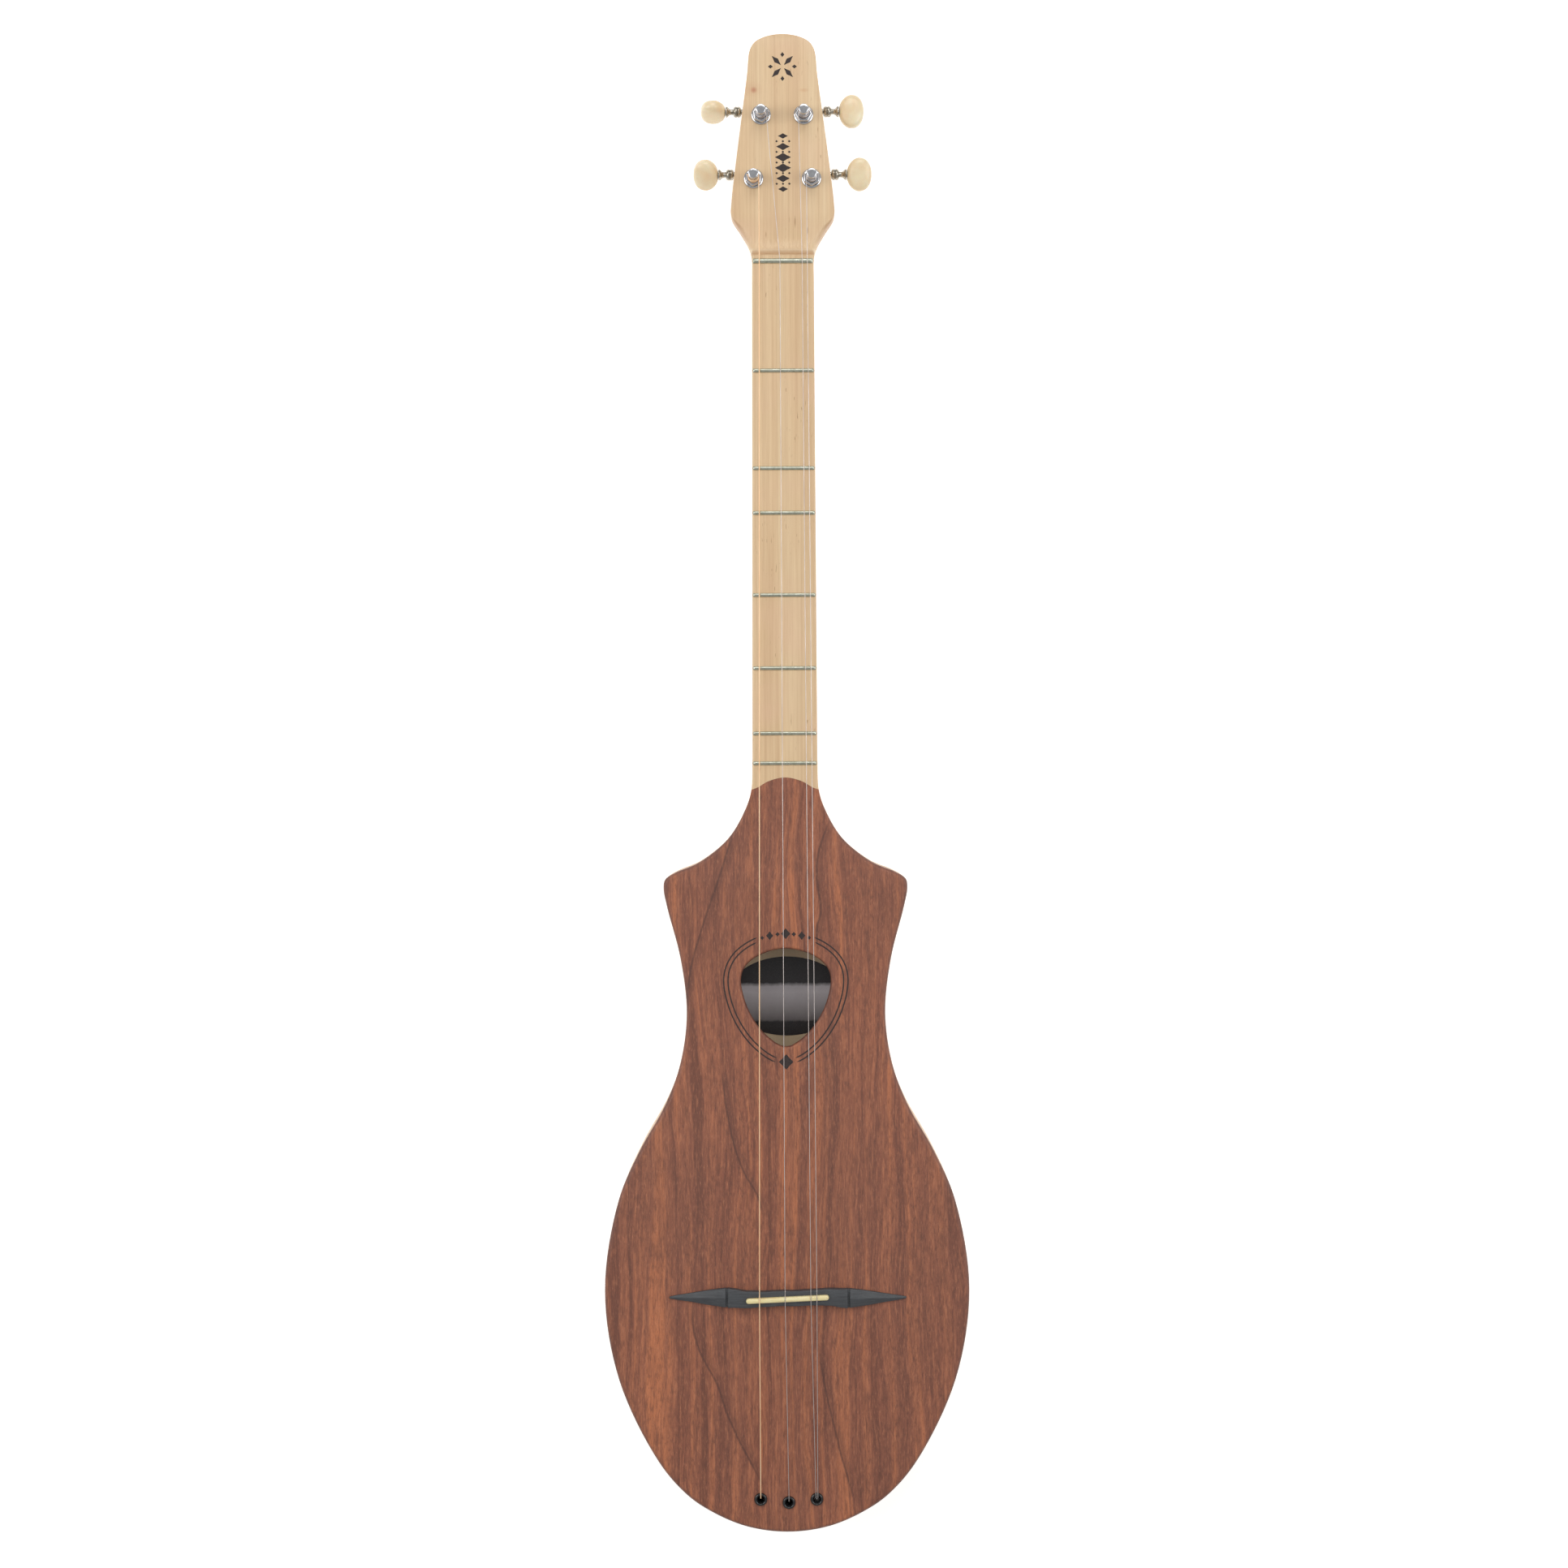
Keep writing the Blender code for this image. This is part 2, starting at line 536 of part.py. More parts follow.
def make_button(name, side, at, turn, plastic):
    """A flattened oval with a blind hole for the shaft."""
    shape = bmesh.new()
    bmesh.ops.create_uvsphere(shape, u_segments=12, v_segments=7, radius=1)
    for vert in shape.verts:
        flat = (abs(vert.co.x) ** OVAL_POWER + abs(vert.co.y) ** OVAL_POWER) ** (1 / OVAL_POWER)
        swell = (abs(vert.co.z) ** FACE_POWER + flat**FACE_POWER) ** (-1 / FACE_POWER)
        vert.co = Vector(a * b * swell / 2 * MM for a, b in zip(vert.co, BUTTON_SIZE))
    button = finished(f"button_{name}", shape, plastic, at)
    button.rotation_euler.x = math.radians(turn)
    hole = bmesh.new()
    along = Matrix.Translation((-side * 8 * MM, 0, 0)) @ Matrix.Rotation(math.pi / 2, 4, "Y")
    bmesh.ops.create_cone(hole, cap_ends=True, segments=10, radius1=BUTTON_HOLE[0] * MM,
                          radius2=BUTTON_HOLE[0] * MM, depth=BUTTON_HOLE[1] * MM, matrix=along)
    boolean(button, finished(f"button_hole_{name}", hole, None, at))


def gear_outline():
    points = []
    pitch = 2 * math.pi / GEAR_TEETH
    for tooth in range(GEAR_TEETH):
        middle = math.pi / 2 + tooth * pitch
        for radius, half in ((GEAR_ROOT, -7.5), (GEAR_TIP, -2.0), (GEAR_TIP, 2.0), (GEAR_ROOT, 7.5)):
            angle = middle + math.radians(half)
            points.append((radius * math.cos(angle), radius * math.sin(angle)))
    return points


def make_gear(name, side, at, brass):
    """A gear whose teeth lean with the worm's thread, with one tooth pointing at the worm."""
    bore = ring((0, 0), SPIGOT + 0.4, 8)
    gear = prism(f"gear_{name}", [gear_outline(), bore], -GEAR_HALF, GEAR_HALF, brass, at=at)
    lean = LEAD / (2 * math.pi * WORM_PITCH) / GEAR_PITCH  # radians for each millimetre of height
    for vert in gear.data.vertices:
        vert.co.rotate(Matrix.Rotation(side * lean * vert.co.z / MM, 3, "Z"))


def make_plate(name, side, x, y, metal):
    """The base plate under the headstock, with two lugs that carry the worm shaft."""
    holes = [ring((0, 0), POST_RADIUS + 0.5, 10)]
    holes += [ring((0, screw_y), PLATE_SCREW_HOLE, 6) for screw_y in PLATE_SCREWS_Y]
    at = (side * x, y, 0)
    plate = prism(f"base_plate_{name}", [PLATE, *holes], *PLATE_Z, metal, at=at)
    for tag, direction in (("outer", side), ("inner", -side)):
        near, far = sorted((direction * LUG[0], direction * LUG[1]))
        rounded = [(WORM_OFFSET + 2.7, PLATE_Z[0] + 0.5), (WORM_OFFSET + 2.7, WORM_Z - 0.8),
                   (WORM_OFFSET + 1.3, WORM_Z - 2.6), (WORM_OFFSET - 1.3, WORM_Z - 2.6),
                   (WORM_OFFSET - 2.7, WORM_Z - 0.8), (WORM_OFFSET - 2.7, PLATE_Z[0] + 0.5)]
        journal = ring((WORM_OFFSET, WORM_Z), 1.8, 8)
        lug = prism(f"lug_{tag}_{name}", [rounded, journal], near, far, None, facing=TO_X, at=at)
        boolean(plate, lug, "UNION")


def make_post(name, at, chrome):
    """The string post: a spigot for the gear, a long journal, a waist for the string and a rounded top."""
    low, high = WAIST_Z
    profile = [(0, POST_TOP), (2.4, POST_TOP), (POST_RADIUS, POST_TOP - 0.6), (POST_RADIUS, high + 0.4),
               (POST_WAIST, high), (POST_WAIST, low), (POST_RADIUS, low - 0.4), (POST_RADIUS, SPIGOT_Z[1]),
               (SPIGOT, SPIGOT_Z[1]), (SPIGOT, SPIGOT_Z[0]), (0, SPIGOT_Z[0])]
    post = turned(f"post_{name}", profile, chrome, at)
    hole = bmesh.new()
    across = Matrix.Translation((0, 0, POST_HOLE_Z * MM)) @ Matrix.Rotation(math.pi / 2, 4, "Y")
    bmesh.ops.create_cone(hole, cap_ends=True, segments=8, radius1=POST_HOLE * MM, radius2=POST_HOLE * MM,
                          depth=3 * POST_RADIUS * MM, matrix=across)
    boolean(post, finished(f"post_hole_{name}", hole, None, at))


def make_bushing(name, at, chrome):
    """A washer on the face and the hexagonal bushing that screws down through the headstock."""
    low = HEAD_FACE_Z + GAP
    inner, outer, thick = WASHER
    washer = [(inner, low + thick), (outer, low + thick), (outer, low), (inner, low)]
    turned(f"washer_{name}", washer, chrome, at, hollow=True)
    seat = low + thick + GAP
    bore, radius, foot = BUSHING_BORE, BUSHING_RADIUS, HEAD_BACK_Z + 2
    barrel = [(bore, seat + 0.5), (radius, seat + 0.5), (radius, foot), (bore, foot)]
    bushing = turned(f"bushing_{name}", barrel, chrome, at, hollow=True)
    corners, height = HEXAGON
    outlines = [ring((0, 0), corners, 6), ring((0, 0), bore, 12)]
    hexagon = prism(f"hexagon_{name}", outlines, seat, seat + height, None, at=at)
    boolean(bushing, hexagon, "UNION")


def make_tuner(name, chrome, nickel, brass, plastic):
    side, x, y, turn = TUNERS[name]
    post_at = (side * x, y, 0)
    make_post(name, post_at, chrome)
    make_bushing(name, post_at, chrome)
    make_plate(name, side, x, y, nickel)
    make_gear(name, side, (side * x, y, WORM_Z), brass)
    make_worm_shaft(name, side, (side * x, y + WORM_OFFSET, WORM_Z), nickel)
    make_button(name, side, (side * (x + BUTTON_AT), y + WORM_OFFSET, WORM_Z), turn, plastic)


def main():
    for obj in list(bpy.data.objects):
        bpy.data.objects.remove(obj)
    for name in (PARTS, CUTTERS):
        bpy.context.scene.collection.children.link(bpy.data.collections.new(name))
    maple = material("maple", (0.72, 0.52, 0.31), 0.45)
    mahogany = material("mahogany", (0.26, 0.10, 0.06), 0.5)
    spruce = material("spruce", (0.75, 0.58, 0.36), 0.6)
    black = material("black_wood", (0.05, 0.05, 0.055), 0.5)
    bone = material("bone", (0.82, 0.74, 0.42), 0.4)
    fret_metal = material("nickel_silver", (0.42, 0.44, 0.38), 0.3, 1)
    plastic = material("black_plastic", (0.01, 0.01, 0.01), 0.15)
    cream = material("cream_plastic", (0.82, 0.70, 0.46), 0.3)
    chrome = material("chrome", (0.65, 0.66, 0.68), 0.12, 1)
    nickel = material("aged_nickel", (0.35, 0.31, 0.26), 0.35, 1)
    brass = material("brass", (0.6, 0.45, 0.2), 0.35, 1)
    steel = material("plain_steel", (0.6, 0.6, 0.6), 0.3, 1)
    bronze = material("wound_bronze", (0.65, 0.45, 0.3), 0.35, 1)
    paper = material("label_paper", (0.06, 0.06, 0.06), 0.6)
    make_core(maple)
    make_soundboard(mahogany)
    make_bracing(spruce, maple)
    make_label(paper)
    make_frets(fret_metal)
    make_bridge(black, bone)
    make_ferrules(plastic, chrome)
    make_strings(bronze, steel)
    for name in TUNERS:
        make_tuner(name, chrome, nickel, brass, cream)


main()
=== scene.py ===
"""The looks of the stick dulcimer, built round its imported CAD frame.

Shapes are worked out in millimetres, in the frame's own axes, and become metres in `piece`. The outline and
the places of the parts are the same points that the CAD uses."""

import math

import bmesh
import bpy
from mathutils import Matrix, Vector
from mathutils.geometry import tessellate_polygon


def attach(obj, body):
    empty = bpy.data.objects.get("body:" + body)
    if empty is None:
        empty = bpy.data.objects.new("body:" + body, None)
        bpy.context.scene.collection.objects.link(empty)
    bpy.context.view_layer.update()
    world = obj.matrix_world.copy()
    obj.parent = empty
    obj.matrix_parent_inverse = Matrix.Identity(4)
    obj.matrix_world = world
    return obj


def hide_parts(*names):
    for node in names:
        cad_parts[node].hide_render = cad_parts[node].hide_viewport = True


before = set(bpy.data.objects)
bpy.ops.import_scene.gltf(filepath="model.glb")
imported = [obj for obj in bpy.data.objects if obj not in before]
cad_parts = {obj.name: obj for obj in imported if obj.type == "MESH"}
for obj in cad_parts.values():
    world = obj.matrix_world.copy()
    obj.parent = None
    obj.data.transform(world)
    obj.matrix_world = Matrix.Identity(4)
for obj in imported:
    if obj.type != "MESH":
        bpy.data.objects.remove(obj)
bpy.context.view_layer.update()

MM = 0.001
HAIR = 0.02  # left between visible pieces that rest on each other

# Heights above the flat back
TOP_Z = 45.0
SOUNDBOARD = 3.0
FLOOR_Z = 5.0
HEAD_FACE_Z = 39.0
HEAD_BACK_Z = 24.0
NECK_BACK_Z = 25.0
ABOVE_ALL = 60  # where cuts from above start
BESIDE_ALL = 140
BEHIND_ALL = -460

# Half outlines, (half width, y), from the tip of the headstock to the tail
HEAD = [(0, 437.1), (9, 436), (15.6, 432.9), (18.8, 428.2), (20.6, 413), (27.4, 361), (30, 338),
        (30, 331.2), (24.9, 322.8), (20.4, 314.8), (18.2, 306.4), (18, 290)]
BODY = [(18.9, 14), (19.6, -4), (23, -15), (33, -32), (50, -46), (64, -52), (70, -56), (71, -61),
        (69, -72), (61.3, -102), (57.8, -134), (61.6, -163), (70.2, -186.5), (86, -214.8), (98, -243),
        (106.1, -295), (98, -347.2), (75.4, -394.5), (59.4, -413.5), (46, -423.1), (24.6, -432.5),
        (0, -435.9)]
BOARD_END = [(0, 3.1), (9.5, 1), (16, -2.7), (19.6, -4)]
CHAMBER = [(0, -58), (30, -59.5), (52, -62), (58.5, -69), (57.5, -82), (53.5, -102), (49.8, -134),
           (54, -165), (71, -203), (89.5, -243), (97.8, -295), (89.5, -345), (70, -385), (52, -396),
           (30, -400), (0, -402)]
SOUND_HOLE = [(0, -96.5), (14.1, -99.7), (23.2, -106.3), (26.1, -114), (22, -131.6), (11.5, -146.8),
              (0, -153.4)]

LABEL_AT = (0.6, -127.3)
LABEL_HALF = (35.4, 23.5)

# Growth lines in the mahogany, each from its lower end up, in a field this wide
GROWTH_LINES = [[(-57.5, -130), (-54, -104), (-45.5, -76), (-37, -50), (-30, -26)],
                [(19.5, -100), (18.4, -84), (20.6, -76), (18.6, -54), (20.5, -37), (27, -20)],
                [(-14, -254), (-16.2, -242), (-26.3, -223.5), (-34, -195), (-37.5, -165)],
                [(-14, -410), (-34.8, -367), (-41, -350), (-53, -325), (-54.5, -296)],
                [(39, -418), (28.4, -379.5), (21.4, -350), (19, -326)]]
LINE_REACH = 240.0

# Marks in the maple of the headstock: x, y, reach across, reach along, strength, colour
MAPLE_MARKS = [(-16.6, 404.4, 2.2, 2.2, 0.8, (184, 116, 86)), (-17.5, 405.0, 7.0, 5.0, 0.25, (196, 140, 104)),
               (12.6, 404.2, 3.6, 1.5, 0.4, (206, 152, 110)), (7.2, 327.4, 0.5, 4.4, 0.7, (150, 104, 70)),
               (14.5, 322.3, 0.6, 2.8, 0.6, (154, 112, 74)), (-9.8, 320.0, 0.5, 2.4, 0.5, (168, 124, 84))]
FAR = 1e6

# Along the neck
HEEL = (-34.0, 30.0)
NECK_TO_HEAD = (296.0, 320.0)
FACE_STEP_Y = 307.1
SCOOP_LENGTH = 12.0
BACK_ROUND = 6.0
NECK_ROUND = 15.0
HEAD_ROUND = 2.2
EDGE_ROUND = 0.9
SHOULDER_ROUND = 4.2  # where the headstock's lower corners are eased
BOARD_ROUND = 2.5
HOLE_ROUND = 1.7

# Frets
SCALE = 583.8
ZERO_FRET_Y = 303.3
FRET_SEMITONES = (2, 4, 5, 7, 9, 11, 12)
FRET_INSET = 0.5
TANG = (0.5, 2.0)

# Bridge and saddle
SADDLE_AT = (0.2, -299.1)
SADDLE_SIZE = (48.1, 3.1)
SADDLE_Z = (46.9, 52.0)
SADDLE_SLANT = math.radians(2.47)
BRIDGE_CENTRE = (0.4, -298.9)
# Along the bridge from its centre to one tip: x, tail side, head side, side height, ridge height
BRIDGE = [(2, -4.5, 4.3, 4.6, 4.7), (15, -4.0, 4.9, 4.6, 4.7), (24, -4.2, 5.5, 4.5, 4.7),
          (32.5, -5.6, 5.3, 4.2, 4.6), (34.6, -5.9, 5.4, 4.0, 4.5), (34.9, -5.6, 5.1, 2.8, 3.1),
          (35.8, -5.6, 5.1, 2.8, 3.1), (36.1, -5.8, 5.3, 3.0, 4.4), (46, -4.6, 4.0, 2.0, 3.6),
          (56, -2.9, 2.3, 1.4, 2.6), (65, -1.5, 1.0, 1.1, 1.6), (68.8, -0.7, 0.3, 0.9, 1.1)]

# Strings: name, radius, tuner, x at the zero fret, x at the saddle, ferrule, offset inside a shared ferrule
STRINGS = [("string_1", 0.30, "lower_left", -13.7, -16.0, 0, 0.0),
           ("string_2", 0.18, "upper_left", -1.7, -1.2, 1, 0.0),
           ("string_3", 0.18, "upper_right", 11.2, 13.7, 2, -0.55),
           ("string_4", 0.18, "lower_right", 14.2, 17.2, 2, 0.55)]
STRING_LIFT = 0.1
WINDING_Z = 43.6
WINDING_INNER = 2.8
WINDING_TURNS = 4
FERRULES = [(-15.8, -416.3), (0.6, -418.2), (16.8, -416.3)]
FERRULE_BARREL = 3.0
BALL = 1.9
BALL_SPACING = 2.15

# Tuners: side, |x| and y of the post, and how far the button is turned
TUNERS = {"lower_left": (-1, 16.9, 352.6, 46.0), "upper_left": (-1, 12.4, 389.8, 74.0),
          "upper_right": (1, 12.4, 389.8, 0.0), "lower_right": (1, 16.9, 352.6, 13.0)}
WORM_Z = 19.0
WORM_OFFSET = 7.2
GEAR_TEETH = 14
GEAR_ROOT, GEAR_PITCH, GEAR_TIP = 4.35, 5.25, 5.9
GEAR_HALF = 1.5
WORM_PITCH = WORM_OFFSET - GEAR_PITCH
WORM_ROOT, WORM_CREST = 1.05, 2.5
WORM_HALF = 3.6
LEAD = 2 * math.pi * GEAR_PITCH / GEAR_TEETH
PLATE_Z = (22.5, 23.7)
LUG = (5.0, 6.5)
POST_TOP = 52.8
POST_HOLE_Z = 47.8
WAIST_Z = (43.4, 49.4)
BUTTON_AT = 28.45
BUTTON_SIZE = (14.7, 19.4, 8.0)
BUTTON_OVAL = 2.25  # the power of the button's oval, where 2 is an ellipse
BUTTON_RIM = 3.1  # the power of its section, where 2 is round and more is flatter
BUTTON_PINCH = 0.1

# Burnt ornament
ROSETTE_LINES = (7.5, 10.0)
ROSETTE_MIDDLE = 8.8
STAR_AT = (0.2, 418.0)
ROW_AT = (0.3, 346.5)
ROW_PITCH = 6.2
ROW_SIZES = (0.62, 0.84, 1.0, 1.0, 0.84, 0.62)


# ---------------------------------------------------------------- paths and outlines

def beyond(end, inner):
    """The point that leads a path out past its end: the mirrored one where the end lies on the axis."""
    return Vector((-inner.x, inner.y)) if end.x == 0 else 2 * end - inner


def smooth(points, spans):
    """A smooth path through the points (centripetal Catmull-Rom), with `spans` steps between two."""
    knots = [Vector(point) for point in points]
    knots = [beyond(knots[0], knots[1]), *knots, beyond(knots[-1], knots[-2])]
    path = []
    for before, start, end, after in zip(knots, knots[1:], knots[2:], knots[3:]):
        t1 = math.sqrt((start - before).length)
        t2 = t1 + math.sqrt((end - start).length)
        t3 = t2 + math.sqrt((after - end).length)
        for step in range(spans):
            t = t1 + (t2 - t1) * step / spans
            a = before.lerp(start, t / t1)
            b = start.lerp(end, (t - t1) / (t2 - t1))
            c = end.lerp(after, (t - t2) / (t3 - t2))
            path.append(a.lerp(b, t / t2).lerp(b.lerp(c, (t - t1) / (t3 - t1)), (t - t1) / (t2 - t1)))
    return [*path, knots[-2]]


def mirrored(half):
    """The whole outline from its +X half, which starts and ends on the axis."""
    return [*[Vector(point) for point in half], *[Vector((-x, y)) for x, y in reversed(half[1:-1])]]


def ring(centre, radius, sides, start=0.0):
    turn = 2 * math.pi / sides
    return [Vector((centre[0] + radius * math.cos(start + i * turn),
                    centre[1] + radius * math.sin(start + i * turn))) for i in range(sides)]


def capsule(centre, length, width, slant, sides=12):
    """A slot's outline: two half rounds joined by straight sides."""
    turn = Matrix.Rotation(slant, 2)
    reach = (length - width) / 2
    points = []
    for end in (1, -1):
        for i in range(sides + 1):
            angle = math.pi * i / sides - math.pi / 2
            point = Vector((reach + width / 2 * math.cos(angle), width / 2 * math.sin(angle))) * end
            points.append(Vector(centre) + turn @ point)
    return points


def rounded(points, reach, steps=4, closed=False):
    """The path with each corner turned into a small curve that starts `reach` before it."""
    points = [Vector(point) for point in points]
    path = []
    for i, corner in enumerate(points):
        if not closed and i in (0, len(points) - 1):
            path.append(corner)
            continue
        before = points[i - 1] - corner
        after = points[(i + 1) % len(points)] - corner
        start = corner + before.normalized() * min(reach, before.length * 0.45)
        end = corner + after.normalized() * min(reach, after.length * 0.45)
        for step in range(steps + 1):
            t = step / steps
            path.append(start.lerp(corner, t).lerp(corner.lerp(end, t), t))
    return path


def inward(outline):
    """A unit normal at each point of a closed outline, pointing into it."""
    area = sum(a.cross(b) for a, b in zip(outline, [*outline[1:], outline[0]]))
    normals = []
    for i, point in enumerate(outline):
        before = (point - outline[i - 1]).normalized()
        after = (outline[(i + 1) % len(outline)] - point).normalized()
        along = (before + after).normalized()
        normal = Vector((-along.y, along.x)) * math.copysign(1, area)
        normals.append(normal / max(math.sqrt((1 + before.dot(after)) / 2), 0.5))
    return normals


def inset(outline, distances):
    """The outline moved inwards by one distance, or by one for each point."""
    if isinstance(distances, (int, float)):
        distances = [distances] * len(outline)
    return [point + normal * away for point, normal, away in zip(outline, inward(outline), distances)]


def level(outline, height):
    """The outline at a height, or at one height for each point."""
    if isinstance(height, (int, float)):
        height = [height] * len(outline)
    return [Vector((point.x, point.y, z)) for point, z in zip(outline, height)]


def ease(value, span):
    """0 before the span, 1 after it, and a smooth rise between."""
    t = min(max((value - span[0]) / (span[1] - span[0]), 0), 1)
    return t * t * (3 - 2 * t)


def mix(a, b, t):
    return a + (b - a) * t


# ---------------------------------------------------------------- meshes, in millimetres

def loft(rings, capped=True):
    """A body through rings of equal point counts."""
    shape = bmesh.new()
    loops = [[shape.verts.new(point) for point in loop] for loop in rings]
    for near, far in zip(loops, loops[1:]):
        for i, corner in enumerate(near):
            shape.faces.new((near[i - 1], corner, far[i], far[i - 1]))
    if capped:
        shape.faces.new(loops[0])
        shape.faces.new(loops[-1])
    return shape


def wrap(shape, pairs, steps):
    """Faces between pairs of loops of `steps` points, where a loop of one point is a tip."""
    for near, far in pairs:
        for i in range(steps):
            after = i + 1
            corners = (near[i % len(near)], near[after % len(near)], far[after % len(far)], far[i % len(far)])
            shape.faces.new(dict.fromkeys(corners))


def turned(profile, at=(0, 0, 0), steps=36, hollow=False):
    """A body turned about Z from (radius, z) points. A hollow one closes its profile into a ring."""
    shape = bmesh.new()
    turn = 2 * math.pi / steps
    loops = []
    for radius, z in profile:
        count = steps if radius > 0 else 1
        spots = [(at[0] + radius * math.cos(i * turn), at[1] + radius * math.sin(i * turn), at[2] + z)
                 for i in range(count)]
        loops.append([shape.verts.new(spot) for spot in spots])
    pairs = list(zip(loops, loops[1:]))
    if hollow:
        pairs.append((loops[-1], loops[0]))
    wrap(shape, pairs, steps)
    return shape


def slab(boundaries):
    """A plate from stacks of loops, top loop first: the outline's stack, then one stack for each hole."""
    shape = bmesh.new()
    stacks = [[[shape.verts.new(point) for point in loop] for loop in stack] for stack in boundaries]
    for stack in stacks:
        for upper, lower in zip(stack, stack[1:]):
            for i, corner in enumerate(upper):
                shape.faces.new((upper[i - 1], corner, lower[i], lower[i - 1]))
    for end in (0, -1):
        rims = [stack[end] for stack in stacks]
        corners = [corner for rim in rims for corner in rim]
        for triangle in tessellate_polygon([[corner.co.to_2d().to_3d() for corner in rim] for rim in rims]):
            shape.faces.new([corners[i] for i in triangle])
    return shape


def plate(outlines, low, high):
    """A flat plate with upright sides; the first outline is its edge and the others are holes."""
    return slab([[level(outline, high), level(outline, low)] for outline in outlines])


def tube(path, radius, sides=12):
    """A round wire along a path, with one radius or one for each point."""
    path = [Vector(point) for point in path]
    radii = radius if isinstance(radius, list) else [radius] * len(path)
    last = len(path) - 1
    tangents = [(path[min(i + 1, last)] - path[max(i - 1, 0)]).normalized() for i in range(len(path))]
    across = tangents[0].orthogonal().normalized()
    rings = []
    for place, tangent, wide in zip(path, tangents, radii):
        across = (across - tangent * across.dot(tangent)).normalized()
        up = tangent.cross(across)
        angles = [2 * math.pi * i / sides for i in range(sides)]
        rings.append([place + (across * math.cos(a) + up * math.sin(a)) * wide for a in angles])
    return loft(rings)


def joined(shapes):
    """One mesh of several that don't touch."""
    whole = bmesh.new()
    for shape in shapes:
        mesh = bpy.data.meshes.new("join")
        shape.to_mesh(mesh)
        shape.free()
        whole.from_mesh(mesh)
        bpy.data.meshes.remove(mesh)
    return whole


def moved(shape, matrix):
    bmesh.ops.transform(shape, matrix=matrix, verts=shape.verts)
    return shape


def carved(shape, cutter, operation="DIFFERENCE"):
    """The shape cut by, or joined with, another one."""
    pair = []
    for part in (shape, cutter):
        bmesh.ops.recalc_face_normals(part, faces=part.faces)
        mesh = bpy.data.meshes.new("carving")
        part.to_mesh(mesh)
        part.free()
        obj = bpy.data.objects.new("carving", mesh)
        bpy.context.scene.collection.objects.link(obj)
        pair.append(obj)
    modifier = pair[0].modifiers.new("carve", "BOOLEAN")
    modifier.operation = operation
    modifier.object = pair[1]
    result = bmesh.new()
    result.from_object(pair[0], bpy.context.evaluated_depsgraph_get())
    for obj in pair:
        bpy.data.meshes.remove(obj.data)
    return result


def piece(name, shape, look, body="root", replaced=(), sharp=35.0):
    """Makes a piece of the object from a mesh in millimetres, and rides it on its body."""
    bmesh.ops.recalc_face_normals(shape, faces=shape.faces)
    bmesh.ops.scale(shape, vec=(MM, MM, MM), verts=shape.verts)
    mesh = bpy.data.meshes.new(name)
    shape.to_mesh(mesh)
    shape.free()
    mesh.shade_smooth()
    mesh.set_sharp_from_angle(angle=math.radians(sharp))
    mesh.materials.append(look.material)
    obj = bpy.data.objects.new(name, mesh)
    bpy.context.scene.collection.objects.link(obj)
    if replaced:
        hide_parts(*replaced)
    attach(obj, body)
    return obj


# ---------------------------------------------------------------- materials

def srgb(red, green, blue):
    """A colour as a photograph's 0 to 255 numbers name it, as the shader's linear RGBA."""
    linear = [((c / 255 + 0.055) / 1.055) ** 2.4 for c in (red, green, blue)]
    return (*linear, 1.0)


